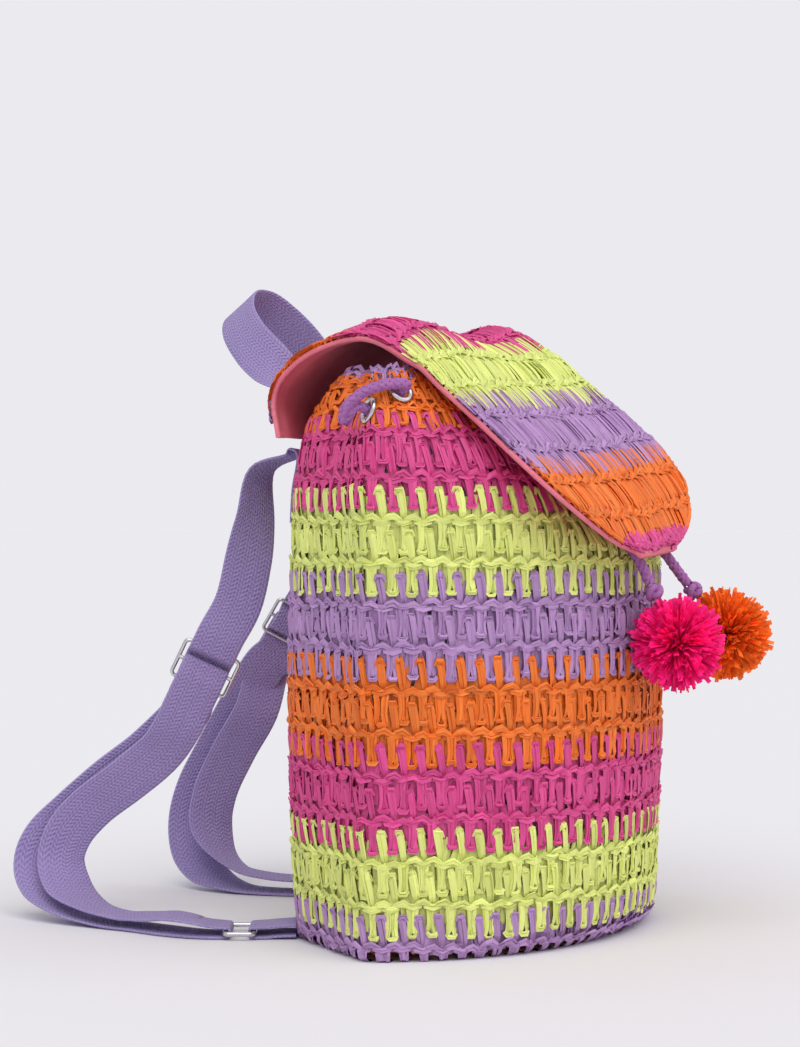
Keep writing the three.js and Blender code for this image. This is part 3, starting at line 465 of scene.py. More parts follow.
class Yarn:
    """Collects the strands of one piece."""

    def __init__(self):
        self.points, self.faces, self.uv, self.tint, self.count = [], [], [], [], 0

    def take(self, points, uv, tint, rows, ring):
        strands = len(points)
        start = self.count + np.arange(strands)[:, None, None] * rows * ring
        self.faces.append((grid_faces(rows, ring)[None] + start).reshape(-1, 4))
        self.points.append(points.reshape(-1, 3))
        self.uv.append(uv.reshape(-1, 2))
        self.tint.append(tint.reshape(-1))
        self.count += strands * rows * ring

    def build(self, name, look, *nodes, floor=0.25):
        points = np.concatenate(self.points)
        make_room(points)
        points[:, 2] = np.maximum(points[:, 2], floor)
        faces, uv, tint = np.concatenate(self.faces), np.concatenate(self.uv), np.concatenate(self.tint)
        return dress(mesh_object(name, points, faces, uv, tint, flat=True), look, *nodes)


def ribbons(
    yarn, centre, normal, half, thick=0.55, roll=0.0, tone=1.0, spread=0.06, crease=0.22, plain=False
):
    """Flat creased ribbons along centre (strands, rows, 3); half is their half width at each row."""
    section = PLAIN_SECTION if plain else SECTION
    strands, rows = centre.shape[:2]
    tangent = unit(np.gradient(centre, axis=1))
    side = unit(np.cross(normal, tangent))
    up = np.cross(tangent, side)
    turn = np.broadcast_to(np.asarray(roll, float), (strands, rows))[..., None]
    side, up = side * np.cos(turn) + up * np.sin(turn), up * np.cos(turn) - side * np.sin(turn)
    ring = len(section)
    groove = 0.0 if plain else rng.uniform(-0.45, 0.45, (strands, 1, 1)) * GROOVE
    w = (section[:, 0] + groove) * half[..., None]
    h = section[:, 1] * thick + rng.normal(0, crease, (strands, 1, ring)) * np.minimum(half, 1.4)[..., None]
    points = centre[:, :, None] + side[:, :, None] * w[..., None] + up[:, :, None] * h[..., None]
    length = np.cumsum(np.linalg.norm(np.diff(centre, axis=1, prepend=centre[:, :1]), axis=-1), 1)
    along = (length + rng.uniform(0, 900, (strands, 1)))[..., None] + np.zeros(ring)
    across = w + rng.uniform(0, 900, (strands, 1, 1))
    # tone scales a strand's colour: below 1 it is painted shade, above 1 painted light; spread gives the
    # strands' own random tone
    tint = np.broadcast_to(tone * rng.normal(1, spread, (strands, 1, 1)), along.shape)
    yarn.take(points, np.stack([along, across], -1), tint, rows, ring)


def spread_points(values, rows):
    """A short list of values read as a smooth run of rows."""
    t = np.linspace(0, len(values) - 1, rows)
    return through_keys([(i, value) for i, value in enumerate(values)], t)[..., 0]


def strand(yarn, surface, a, v, shape, rows=8, jitter=0.04, **look):
    """One strand per stitch: shape lists (across, up, out, half width) along it from the stitch's place."""
    count = len(a)
    across, up, out, half = (spread_points(values, rows)[None] for values in zip(*shape))
    move = lambda size: rng.normal(0, size, (count, 1))
    pitch = look.pop("pitch", 1.0)
    aa = a[:, None] + (across + move(jitter)) * pitch
    vv = v[:, None] + up + move(0.45)
    oo = out + move(0.16)
    if surface is FLAP:
        edge = flap_half(np.minimum(vv, FLAP_LENGTH + 1)) + 0.9
        aa = np.clip(aa, -edge, edge)
    _, normal, scale = surface.read(aa, vv)
    keep = np.clip(scale, 0.5, 1.05) if surface is BODY else 1.0
    widths = half * keep * rng.normal(1, 0.09, (count, 1))
    ribbons(yarn, surface.at(aa, vv, oo), normal, widths, roll=move(0.16), **look)


def crochet_round(surface, yarn, below, a, v, height, loose=0.0, rising=True):
    """One round: its ridge and hanging T stitches, and the fingers that rise to it from the yarn below."""
    n = len(a)
    k = height / ROUND_HEIGHT
    jitter = 0.04 + loose
    sway = rng.normal(-0.02, 0.07, (n,))
    drop = v + rng.normal(0, 0.5, (n,))
    for side in (-1, 1):
        leg = [
            (side * 0.2, 0.6, 1.4, 1.2), (side * 0.13, -1.4 * k, 2.0 + side * 0.2, 1.6),
            (side * 0.1, -4.4 * k, 2.1, 1.6), (side * 0.09, -8.8 * k, 1.9 + side * 0.25, 1.5),
            (side * 0.14, -12.4 * k, 1.9, 1.35), (side * 0.21, -14.6 * k, 1.1, 0.8),
        ]
        strand(yarn, surface, a + sway * (1 + side) / 2, drop, leg, rows=6, jitter=jitter * 0.6)
    bar = [
        (-0.5, 1.7, 0.9, 0.3), (-0.36, -0.1, 1.9, 1.5), (0, -0.9, 2.6, 1.7), (0.36, -0.1, 1.9, 1.5),
        (0.5, 1.7, 0.9, 0.3),
    ]
    strand(yarn, surface, a, v, bar, rows=5, jitter=jitter)
    chin = [
        (-0.27, -12.8 * k, 1.3, 0.9), (-0.14, -14.3 * k, 2.1, 1.25), (0.14, -14.3 * k, 2.1, 1.25),
        (0.27, -12.8 * k, 1.3, 0.9),
    ]
    strand(yarn, surface, a + sway * 0.5, drop, chin, rows=4, jitter=jitter * 0.6)
    hump = [
        (-0.2, -1.8, 0.8, 0.3), (0.1, 0.3, 2.0, 1.2), (0.44, 2.2, 3.0, 1.75), (0.74, 1.3, 2.6, 1.4),
        (1.12, -1.3, 1.0, 0.3),
    ]
    strand(yarn, surface, a, v + rng.normal(0, 0.4, (n,)), hump, rows=5, jitter=jitter)
    # The core strands behind each stitch are toned down to 0.86: painted shade between the stitches.
    core = [(-0.6, 0.2, 0.4, 2.2), (0.6, 0.2, 0.4, 2.2)]
    strand(yarn, surface, a, v, core, rows=2, jitter=jitter, tone=0.86, plain=True)
    if not rising:
        return
    low = v - height
    # These plain strands low behind the fingers are toned down to 0.9: painted shade behind the stitches.
    for place in (0.02, 0.34, 0.68):
        for owner, start, end in ((yarn, 1.0, 0.4), (below, 0.0, 0.56)):
            lean = rng.normal(0, 0.16)
            rows = [(place - lean, height * start, 0.4, 2.3), (place + lean, height * end, 0.1, 2.0)]
            starts = a + rng.normal(0, 0.08, (n,))
            strand(owner, surface, starts, low, rows, rows=2, jitter=0.05, tone=0.9, spread=0.12, plain=True)
    finger = [
        (0.38, 0.4, 0.3, 1.4), (0.43, 4.2 * k, 1.6, 1.8), (0.5, 8.8 * k, 2.1, 2.0),
        (0.58, 13.2 * k, 2.4, 2.1), (0.62, 15.6 * k, 2.0, 1.9), (0.62, 16.6 * k, 0.5, 1.2),
    ]
    lean = rng.normal(0, 0.06, (n,))
    strand(below, surface, a + lean, low, finger, rows=6, jitter=jitter * 0.8)
    hood = [
        (0.37, 12.8 * k, 1.6, 0.7), (0.5, 15.3 * k, 2.7, 1.1), (0.74, 15.3 * k, 2.7, 1.1),
        (0.86, 12.9 * k, 1.6, 0.7),
    ]
    strand(below, surface, a + lean, low, hood, rows=4, jitter=jitter * 0.6)


def bands(prefix, looks, ending):
    """(look, node) of each band; the last node's name has an ending of its own."""
    nodes = [f"{prefix}_{k + 1}_{look}" for k, look in enumerate(looks)]
    nodes[-1] += ending
    return list(zip(looks, nodes))


BANDS = bands("wall_band", ("lilac", "lime", "pink", "orange") * 2 + ("lilac",), "_rim")
GATHERED_ROUNDS = [262.5, 274.5, 281.5]
ROUND_HEIGHTS = [FIRST_ROUND + ROUND_HEIGHT * k for k in range(13)] + GATHERED_ROUNDS
yarns = [Yarn() for _ in BANDS]
base_yarn = Yarn()
for k, v in enumerate(ROUND_HEIGHTS):
    height = v - ROUND_HEIGHTS[k - 1] if k else ROUND_HEIGHT * 0.7
    stitches = np.arange(STITCHES) + (k % 2) * 0.5 + 0.25
    heights = v + 0.5 * np.sin(stitches * 0.9 + k)
    gather = 0.2 * float(smooth((v - 235) / 40))
    yarn, below = yarns[(k + 1) // 2], yarns[k // 2]
    crochet_round(BODY, yarn, below, stitches, heights, height, loose=gather, rising=k > 0)
for (look, node), yarn in zip(BANDS, yarns):
    yarn.build(node.replace("wall_band", "crochet"), look, node)

# The base: flat rounds, seen from below
for inward in (6, 24, 42, 58):
    count = int(STITCHES * (1 - inward / 90))
    places = np.arange(count) * STITCHES / count
    rise = [(-0.5, -1, 0.6, 0.8), (-0.1, 1, 1.4, 2.2), (0.4, 1, 1.4, 2.0), (0.9, -1, 0.6, 0.8)]
    strand(base_yarn, BASE, places, np.full(count, inward - 4.0), rise, rows=5, pitch=STITCHES / count)
    finger = [(0, 0, 0.4, 1.6), (0.1, 8, 0.9, 2.4), (0, 16, 0.4, 1.6)]
    for shift in (0.0, 0.5):
        strand(base_yarn, BASE, places + shift, np.full(count, inward - 2.0), finger, rows=4, pitch=1.2)
base_yarn.build("crochet_base", "orange", "base_orange")

# The flap, from its hinge to the tip
FLAP_BANDS = bands("flap_band", ("lilac", "orange", "pink", "lime", "lilac", "orange", "pink"), "_tip")
flap_yarns = [Yarn() for _ in FLAP_BANDS]
FLAP_PITCH, FINGER_GAP, EDGE_INSET = 9.2, 2.2, 0.6
FINGER_LEAN, FINGER_REACH, TIP_FINGER_REACH = 4.4, 0.84, 0.45
FINGER_KEYS = [(0, 0.8, 1.0), (0.3, 1.5, 1.45), (0.6, 1.6, 1.5), (0.88, 1.4, 1.3), (1, 0.5, 0.7)]
FLAP_RIDGES = [FLAP_FIRST + FLAP_ROUND * k for k in range(11)] + [FLAP_LENGTH - 3]


def across_flap(length, gap):
    """Even places across the flap at a length, from edge to edge."""
    half = float(flap_half(np.array(float(length)))) - EDGE_INSET
    count = max(int(round(2 * half / gap)), 2)
    return np.linspace(-half, half, count)


for k, length in enumerate(FLAP_RIDGES):
    yarn = flap_yarns[(k + 1) // 2]
    places = across_flap(length, FLAP_PITCH)
    heights = length + 0.9 * np.sin(places * 0.13 + k * 2)
    knot = [
        (-0.12, 1.6, 0.7, 0.6), (0.1, 0.2, 2.0, 1.5), (0.4, -0.9, 2.6, 1.8), (0.7, -0.6, 2.1, 1.4),
        (0.95, 1.2, 0.8, 0.6),
    ]
    tuck = [(-0.1, -1.4, 0.6, 0.6), (0.25, 0.6, 1.9, 1.4), (0.55, 1.6, 2.2, 1.4), (0.9, 0.2, 0.8, 0.6)]
    under = [(-0.1, 0, 0.3, 2.4), (0.5, 0, 0.6, 2.6), (1.1, 0, 0.3, 2.4)]
    # The tuck and under strands are toned down (0.97, 0.88): painted shade on the lower layers.
    for shape, rows, tone in ((knot, 7, 1.0), (tuck, 5, 0.97), (under, 3, 0.88)):
        laid = dict(rows=rows, pitch=FLAP_PITCH, jitter=0.06, tone=tone)
        strand(yarn, FLAP, places[:-1], heights[:-1], shape, **laid)
    if k + 1 == len(FLAP_RIDGES):
        break
    gap = FLAP_RIDGES[k + 1] - length
    next_yarn = flap_yarns[(k + 2) // 2]
    next_reach = TIP_FINGER_REACH if k + 2 == len(FLAP_RIDGES) else FINGER_REACH
    fingers = ((yarn, length, 1, FINGER_REACH), (next_yarn, length + gap, -1, next_reach))
    for owner, origin, way, reach in fingers:
        group = across_flap(origin, 2 * FINGER_GAP) + FINGER_GAP / 2 * way
        starts = np.full(len(group), origin)
        lean = -FINGER_LEAN * way
        shape = [(share * lean, share * gap * reach * way, out, half) for share, out, half in FINGER_KEYS]
        strand(owner, FLAP, group - lean / 2, starts, shape, rows=5, jitter=0.4)
        # The wide strands behind the fingers are toned down to 0.93: painted shade in the gaps.
        for shift, depth in ((-0.6, 1.0), (1.7, 0.7)):
            behind = [(0, 0, depth, 2.5), (lean * 0.66, reach * 0.72 * gap * way, depth, 2.3)]
            places = group - lean / 2 + shift
            strand(owner, FLAP, places, starts, behind, rows=2, jitter=0.3, tone=0.93, spread=0.1, plain=True)
    middle = length + gap / 2
    for sign in (-1, 1):
        for owner, low, high in ((yarn, length, middle), (next_yarn, middle, length + gap)):
            steps = np.arange(low, high, 3.9)
            edge = (flap_half(steps) - EDGE_INSET + 0.4) * sign
            loop = [
                (0, -1.5, 0.2, 0.7), (0.4 * sign, 0.8, 1.3, 1.2), (0.4 * sign, 3.4, 1.4, 1.2),
                (0, 5.8, 0.2, 0.7),
            ]
            strand(owner, FLAP, edge, steps, loop, rows=5, jitter=0.2)
            over = [
                (-4.6 * sign, 1.2, 0.6, 1.0), (-2 * sign, 0.6, 1.6, 1.4), (0.2 * sign, 0, 1.3, 1.3),
                (1.3 * sign, -0.3, -0.9, 0.9),
            ]
            strand(owner, FLAP, edge, steps + 1.5, over, rows=5, jitter=0.2)
tip = across_flap(FLAP_LENGTH - 5, 2.6)
stitch = [(0, -6.5, 0.8, 0.8), (0.4, -3, 1.9, 1.2), (0.6, 0.5, 1.7, 1.2), (0.6, 2.6, -0.2, 0.9)]
strand(flap_yarns[-1], FLAP, tip, np.full(len(tip), FLAP_LENGTH - 4.0), stitch, rows=5, jitter=0.3)
for (look, node), yarn in zip(FLAP_BANDS, flap_yarns):
    yarn.build(node.replace("flap_band", "flap_crochet"), look, node)


# Linings
def cloth_shell(name, outer, inner, uv, wrap=False):
    """Two skins of cloth joined along every edge; wrap closes the grid round the bag."""
    rows, columns = outer.shape[:2]
    count = rows * columns
    skin = grid_faces(rows, columns, columns_close=wrap)
    faces = [skin, skin[:, ::-1] + count]
    i = np.arange(columns if wrap else columns - 1)
    for row in (0, (rows - 1) * columns):
        start = row + i
        end = row + (i + 1) % columns
        faces.append(np.stack([start, end, end + count, start + count], -1))
    if not wrap:
        for column in (0, columns - 1):
            start = np.arange(rows - 1) * columns + column
            end = start + columns
            faces.append(np.stack([start, end, end + count, start + count], -1))
    points = np.concatenate([outer.reshape(-1, 3), inner.reshape(-1, 3)])
    uv = uv.reshape(-1, 2)
    return mesh_object(name, points, np.concatenate(faces), np.concatenate([uv, uv]))


def ripple(a, b, seed):
    """Soft irregular creases."""
    long_wave = np.sin(a * 0.11 + 1.7 * np.sin(b * 0.043 + seed))
    short_wave = np.sin(b * 0.17 + 2.1 * np.sin(a * 0.05 + seed))
    return (long_wave + 0.6 * short_wave) / 1.6


levels = np.concatenate([[-30.0, -18.0], np.linspace(2, 279, 34)])
around = np.linspace(0, STITCHES, 141)[:-1]
V, S = np.meshgrid(levels, around, indexing="ij")


def body_skin(depth, floor_height):
    skin = BODY.at(S, np.maximum(V, -2), -depth - 0.4 * ripple(S * 9, V, 1.0))
    skin[..., 2] = np.maximum(skin[..., 2], floor_height)
    for row, share in ((0, 0.03), (1, 0.5)):
        skin[row, :, :2] = skin[2, :, :2] * share
        skin[row, :, 2] = floor_height
    return skin


shell = cloth_shell("body_lining_cloth", body_skin(LINING_DEPTH, 5.4), body_skin(LINING_DEPTH + 0.7, 6.1),
                    np.stack([S * PITCH, V], -1), wrap=True)
body_lining = dress(shell, "mauve", "body_lining")

lengths = np.linspace(-1, FLAP_LENGTH + FLAP_EDGE, 80)
shares = np.linspace(-1, 1, 57)
L, U = np.meshgrid(lengths, shares, indexing="ij")
X = U * (flap_half(np.minimum(L, FLAP_LENGTH)) + FLAP_EDGE)
hem = np.maximum(smooth((np.abs(U) - 0.88) / 0.05), smooth((L - FLAP_LENGTH + 9) / 5))
creases = 0.7 * ripple(X, L, 0.4) * (1 - hem)
outer = FLAP.at(X, L, -3.2 + 2.9 * hem - creases)
inner = FLAP.at(X, L, -4.4 + 1.9 * hem - creases)
shell = cloth_shell("flap_lining_cloth", outer, inner, np.stack([L, X], -1))
flap_lining = dress(shell, "coral", "flap_lining")


# Smooth runs of points
def catmull(points, steps):
    """Centripetal curve through points, as the part's source draws it, with its steps for each span."""
    p = np.array(points, float)
    p = np.concatenate([[2 * p[0] - p[1]], p, [2 * p[-1] - p[-2]]])
    out = []
    for k in range(len(p) - 3):
        a, b, c, d = p[k : k + 4]
        d0, d1, d2 = (max(np.linalg.norm(y - x) ** 0.5, 1e-4) for x, y in ((a, b), (b, c), (c, d)))
        t1 = ((b - a) / d0 - (c - a) / (d0 + d1) + (c - b) / d1) * d1
        t2 = ((c - b) / d1 - (d - b) / (d1 + d2) + (d - c) / d2) * d1
        last = k == len(p) - 4
        for t in np.arange(steps + (1 if last else 0)) / steps:
            out.append(b + t1 * t + (3 * c - 3 * b - 2 * t1 - t2) * t**2 + (2 * b - 2 * c + t1 + t2) * t**3)
    return np.array(out)


def even(points, gap):
    """The same line at even steps."""
    far = np.concatenate([[0], np.cumsum(np.linalg.norm(np.diff(points, axis=0), axis=1))])
    steps = max(int(far[-1] / gap), 2)
    at = np.linspace(0, far[-1], steps + 1)
    return np.stack([np.interp(at, far, points[:, i]) for i in range(points.shape[1])], 1)


# Webbing
WEB_SECTION = [
    (-12.5, 0.0), (-12.1, 0.5), (-11.2, 0.72), (-6, 0.66), (0, 0.62), (6, 0.66), (11.2, 0.72), (12.1, 0.5),
    (12.5, 0.0), (12.1, -0.5), (11.2, -0.7), (4, -0.64), (-4, -0.64), (-11.2, -0.7), (-12.1, -0.5),
]


def webbing(name, stations, *nodes):
    """A strip through stations (point, direction of its width there)."""
    points = catmull([p for p, _ in stations], 6)
    widths = np.array([w for _, w in stations], float)
    t = np.linspace(0, len(stations) - 1, len(points))
    k = np.minimum(t.astype(int), len(stations) - 2)
    across = mix(widths[k], widths[k + 1], (t - k)[:, None])
    tangent = unit(np.gradient(points, axis=0))
    across = unit(across - tangent * np.sum(across * tangent, 1, keepdims=True))
    normal = np.cross(across, tangent)
    section = np.array(WEB_SECTION)
    ring = len(section)
    grid = points[:, None] + across[:, None] * section[:, :1] + normal[:, None] * section[:, 1:]
    grid[..., 2] = np.maximum(grid[..., 2], 0.2)
    far = np.cumsum(np.linalg.norm(np.diff(points, axis=0, prepend=points[:1]), axis=1))
    uv = np.stack([np.repeat(far[:, None], ring, 1), np.tile(section[:, 0], (len(points), 1))], -1)
    thing = mesh_object(name, grid.reshape(-1, 3), grid_faces(len(points), ring), uv.reshape(-1, 2))
    return dress(thing, "webbing", *nodes)


STRAP_STITCH = 29.1
STRAP_LIFT = 1.8 + 1.3 + WEB_THICKNESS / 2
RING_HEIGHT = WEB_THICKNESS + 0.6 + WIRE / 2
BAR_REACH = (RING_LENGTH - WIRE) / 2
WRAP = WIRE / 2 + 0.35 + WEB_THICKNESS / 2
TURN = WRAP * 0.85
BAR = (SLIDER_LENGTH - WIRE) / 2
LOOPS = {
    "left": {
        "slider": (-62, 134, 132.5),
        "ring": (-92, 94),
        "hang": (0.469, -0.883, 0),
        "heading": (0.469, -0.883, 0),
        "fall": [(-56, 103, 236), (-55, 108, 210), (-55, 112, 189), (-55.5, 118, 166)],
        "outer": [
            (-60, 147, 109), (-65, 166, 89.5), (-71, 187, 73), (-77, 207, 55), (-82.5, 221, 40),
            (-85.5, 224.5, 28), (-90, 216, 15.5), (-94, 198, 5.5), (-95.5, 178, 1.8), (-97, 150, 1),
            (-101, 125, 1),
        ],
        "inner": [
            (-103, 115, 8), (-101, 129, 8.5), (-98, 147, 7), (-97, 164, 6.5), (-95, 183, 9.5),
            (-90.5, 200.5, 18), (-85, 209.5, 30.5), (-83, 206, 44), (-79.5, 194.5, 58), (-74, 176, 72.5),
            (-68.5, 157, 89),
        ],
    },
    "right": {
        "slider": (-58, 150, 150),
        "ring": (-62, 100),
        "hang": (-0.469, -0.883, 0),
        "heading": (-0.42, -0.908, 0),
        "fall": [(-57, 105, 240), (-57, 114, 220), (-57, 124, 200), (-57, 134, 180)],
        "outer": [
            (-56, 168, 128), (-55, 183, 105), (-54, 199, 78), (-52, 211, 55), (-50, 215, 36), (-46, 210, 20),
            (-42, 196, 8), (-40, 176, 2.2), (-43, 155, 1), (-49, 136, 1),
        ],
        "inner": [
            (-53, 122, 8), (-48, 138, 8.5), (-43, 158, 9.5), (-41, 176, 13), (-43, 190, 22), (-47, 199, 37),
            (-49, 197, 55), (-51, 186, 78), (-53, 172, 102),
        ],
    },
}
# Round the slider's bars: (along, out) from its middle
THROUGH_SLIDER = [
    (-BAR - 9, 2.3), (-BAR, 2.1), (-BAR + 1.7, 1.95), (-BAR + 2.9, 0.9), (-BAR + 3.8, -0.6), (-4.6, -3.3),
    (-1.8, -3.9), (1.8, -3.9), (4.6, -3.3), (BAR - 3.8, -0.6), (BAR - 2.9, 0.9), (BAR - 1.7, 1.95),
    (BAR, 2.1), (BAR + 8, 0.4),
]
SEWN_END = [
    (BAR + 22, 5.7), (BAR + 10, 5.6), (BAR, 5.5), (7, 5.4), (3.5, 4.4), (1.6, 3), (0, 2), (-1.6, 1.6),
    (-2.4, 0.4), (-2.3, -0.9), (-1.2, -1.85), (0.2, -2), (1.7, -1.6), (2.6, -0.3), (3.4, 1.3), (5, 3),
    (8, 3.75), (BAR, 3.85), (BAR + 8, 3.6), (BAR + 17, 3),
]
MIRROR = np.array([-1, 1, 1])


def slider_axes(loop):
    down = unit(np.array(loop["outer"][0]) - np.array(loop["fall"][3]))
    hang = np.array(loop["hang"])
    across = unit(hang - down * hang.dot(down))
    out = unit(np.cross(down, across))
    return np.array(loop["slider"], float), down, across, out if out[0] < 0 else -out


def ring_axes(loop):
    along = np.array(loop["heading"], float)
    across = np.array([-along[1], along[0], 0]) * (1 if loop["hang"][0] > 0 else -1)
    centre = np.array([*loop["ring"], RING_HEIGHT], float)
    return centre, along, across


def turning(route, before, after, start, span):
    """Stations along a route whose width turns from one direction to another, from the start-th point on."""
    return [
        (np.array(p, float), mix(before, after, smooth((k - start) / span))) for k, p in enumerate(route)
    ]


def strap_stations(loop):
    centre, down, across, out = slider_axes(loop)
    ring, along, ring_across = ring_axes(loop)
    hang = np.array(loop["hang"])
    up = np.array([0, 0, 1.0])
    on_wall = lambda v: BODY.at(STRAP_STITCH, v, STRAP_LIFT)
    top = on_wall(242)
    along_wall = BODY.at(STRAP_STITCH + 1, 230) - BODY.at(STRAP_STITCH - 1, 230)
    along_wall[2] = 0
    along_wall = unit(along_wall)
    at_slider = lambda p: (centre + down * p[0] + out * p[1], across)
    at_ring = lambda t, z: (ring + along * (t - BAR_REACH) + up * z, ring_across)
    sewn = (on_wall(208), on_wall(225), top, top + (0, 3.2, 3), top + (0, 7, 0.4))
    stations = [(p, along_wall) for p in sewn]
    stations += turning(loop["fall"], along_wall, across, -1, 4)
    stations += [at_slider(p) for p in THROUGH_SLIDER]
    stations += turning(loop["outer"], hang, ring_across, 5, 3.5)
    turns = [(-9, -WRAP), (0, -WRAP), (TURN, -TURN), (WRAP, 0), (TURN, TURN), (0, WRAP), (-8, WRAP + 0.8)]
    stations += [at_ring(t, z) for t, z in turns]
    stations += turning(loop["inner"], ring_across, hang, 2.5, 3.5)
    return stations + [at_slider(p) for p in SEWN_END]


def tab_stations(loop):
    ring, along, across = ring_axes(loop)
    route = [
        (21, -WRAP + 0.8), (13, -WRAP + 0.6), (6, -WRAP), (0, -WRAP), (-TURN, -TURN), (-WRAP, 0),
        (-TURN, TURN), (0, WRAP), (6, WRAP + 0.4), (13, WRAP + 1), (21, WRAP + 1.5),
    ]
    return [(ring + along * (t + BAR_REACH) + np.array([0, 0, z]), across) for t, z in route]


def tube(points, radius, sides=12, closed=False):
    """A round tube, as points and faces."""
    points = np.asarray(points, float)
    tangent = np.gradient(points, axis=0)
    if closed:
        tangent = np.roll(points, -1, 0) - np.roll(points, 1, 0)
    tangent = unit(tangent)
    guide = np.array([0.31, 0.22, 0.92])
    side = unit(np.cross(tangent, guide))
    up = np.cross(side, tangent)
    angle = np.arange(sides) * 2 * math.pi / sides
    spoke = side[:, None] * np.cos(angle)[:, None] + up[:, None] * np.sin(angle)[:, None]
    grid = points[:, None] + radius * spoke
    return grid.reshape(-1, 3), grid_faces(len(points), sides, rows_close=closed)


def joined(parts):
    points, faces, count = [], [], 0
    for p, f in parts:
        points.append(p)
        faces.append(f + count)
        count += len(p)
    return np.concatenate(points), np.concatenate(faces)


def wire_frame(length, thickness, axes, middle_bar):
    """A bent wire frame: a rounded outline, and a straight bar across it if it has one."""
    centre, across, along = axes
    w, l, r = WEB_WIDTH / 2 + SLACK + WIRE / 2, (length - WIRE) / 2, 2.2
    x, y = w - r, l - r
    outline = []
    for cx, cy, start in ((x, y, 0), (-x, y, 90), (-x, -y, 180), (x, -y, 270)):
        for step in range(7):
            angle = math.radians(start + step * 15)
            outline.append((cx + r * math.cos(angle), cy + r * math.sin(angle)))
    spot = lambda p: centre + across * p[0] + along * p[1]
    parts = [tube([spot(p) for p in outline], thickness / 2, 12, True)]
    if middle_bar:
        parts.append(tube([spot((x, 0.0)) for x in np.linspace(-w, w, 9)], thickness / 2 * 0.98, 12))
    return joined(parts)


for side, loop in LOOPS.items():
    flip = np.array([1, 1, 1]) if side == "left" else MIRROR
    turned = lambda stations: [(p * flip, w * flip) for p, w in stations]
    webbing(f"strap_webbing_{side}", turned(strap_stations(loop)), f"shoulder_strap_{side}")
    webbing(f"tab_webbing_{side}", turned(tab_stations(loop)), f"ring_tab_{side}")
    centre, down, across, out = slider_axes(loop)
    slider = wire_frame(SLIDER_LENGTH, SLIDER_WIRE, (centre * flip, across * flip, down * flip), True)
    dress(mesh_object(f"slider_wire_{side}", *slider), "metal", f"slider_{side}")
    centre, along, across = ring_axes(loop)
    ring = wire_frame(RING_LENGTH, WIRE, (centre * flip, across * flip, along * flip), False)
    dress(mesh_object(f"ring_wire_{side}", *ring), "metal", f"ring_{side}")

HANDLE_ROUTE = [
    (-29, 90.2, 254), (-29, 91, 260), (-29, 92.6, 267), (-29, 99, 279), (-28, 113, 291), (-24, 130, 305),
    (-16, 142, 318), (-3, 147, 327), (10, 143, 326), (20, 133, 316), (27, 116, 300), (29, 101, 282),
    (29, 93.2, 268), (29, 91, 260), (29, 90.2, 254),
]
handle_up = np.array([0, -0.8, 0.6])
handle_stations = []
for k, p in enumerate(HANDLE_ROUTE):
    start = np.array([1.0 if k < len(HANDLE_ROUTE) / 2 else -1.0, 0, 0])
    twist = smooth((k - 2) / 3.5) * smooth((len(HANDLE_ROUTE) - 3 - k) / 3.5)
    handle_stations.append((np.array(p, float), mix(start, handle_up, twist)))
webbing("handle_webbing", handle_stations, "handle_loop")

# Eyelets: (radius, height above the wall) round their section
EYELET_SIDES = 40
EYELET_PROFILE = [
    (3.95, 1.4), (4.1, 2.3), (4.8, 2.8), (5.7, 2.75), (6.6, 2.2), (6.95, 1.3), (6.3, 1.0), (4.4, 1.0),
    (4.4, -5.0), (5.5, -5.2), (5.6, -5.7), (4.6, -5.8), (3.95, -5.5),
]
for place, (point, normal) in eyelets.items():
    first = unit(np.cross(normal, (0, 0, 1.0)))
    second = np.cross(normal, first)
    angle = np.arange(EYELET_SIDES) * 2 * math.pi / EYELET_SIDES
    profile = np.array(EYELET_PROFILE)
    wheel = first * np.cos(angle)[:, None] + second * np.sin(angle)[:, None]
    grid = point + wheel[:, None] * profile[None, :, :1] + normal * profile[None, :, 1:]
    faces = grid_faces(EYELET_SIDES, len(profile), rows_close=True)
    dress(mesh_object(f"eyelet_metal_{place}", grid.reshape(-1, 3), faces), "metal", f"eyelet_{place}")


# Braided cord
BRAID_STEP, BRAID_LEAD, BRAID_STRANDS, BRAID_SIDES = 1.5, 15.0, 8, 6


def cord_piece(name, points, faces, node):
    uv = np.stack([points @ np.array([0.5, 0.4, 0.9]), points @ np.array([0.7, -0.6, 0.2])], -1)
    return dress(mesh_object(name, points, faces, uv), "cord", node)


def braid(name, line, node):
    """Eight strands plaited round a core, along a line."""
    line = even(line, BRAID_STEP)
    tangent = unit(np.gradient(line, axis=0))
    side = unit(np.cross(tangent, (0.35, -0.2, 0.91)))
    up = np.cross(side, tangent)
    far = np.arange(len(line)) * BRAID_STEP
    turns = np.arange(BRAID_SIDES) * 2 * math.pi / BRAID_SIDES
    oval = np.array([(math.cos(t) * 1.25, math.sin(t) * 0.62) for t in turns])
    parts = [tube(line, 1.9, 8)]
    for k in range(BRAID_STRANDS):
        odd = k % 2
        way = 1 if odd else -1
        angle = way * far * 2 * math.pi / BRAID_LEAD + (k // 2) * math.pi / 2 + odd * math.pi / 4
        lift = 2.05 + 0.32 * np.sin(far * 8 * math.pi / BRAID_LEAD + (1 - odd) * math.pi)
        spoke = side * np.cos(angle)[:, None] + up * np.sin(angle)[:, None]
        centre = line + spoke * lift[:, None]
        run = unit(np.gradient(centre, axis=0))
        flat = unit(np.cross(run, spoke))
        grid = centre[:, None] + flat[:, None] * oval[:, :1] + spoke[:, None] * oval[:, 1:]
        parts.append((grid.reshape(-1, 3), grid_faces(len(line), BRAID_SIDES)))
    return cord_piece(name, *joined(parts), node)


def through(name, out):
    point, normal = eyelets[name]
    return point + normal * out


def passage(name, start, end):
    return [through(name, mix(start, end, t)) for t in (0, 1 / 3, 2 / 3, 1)]


# The cord's loose loop between the side eyelets
SIDE_LOOP = [(-119, -1, 274), (-123, 8, 270), (-125.5, 15, 263), (-123.5, 17, 256.5)]


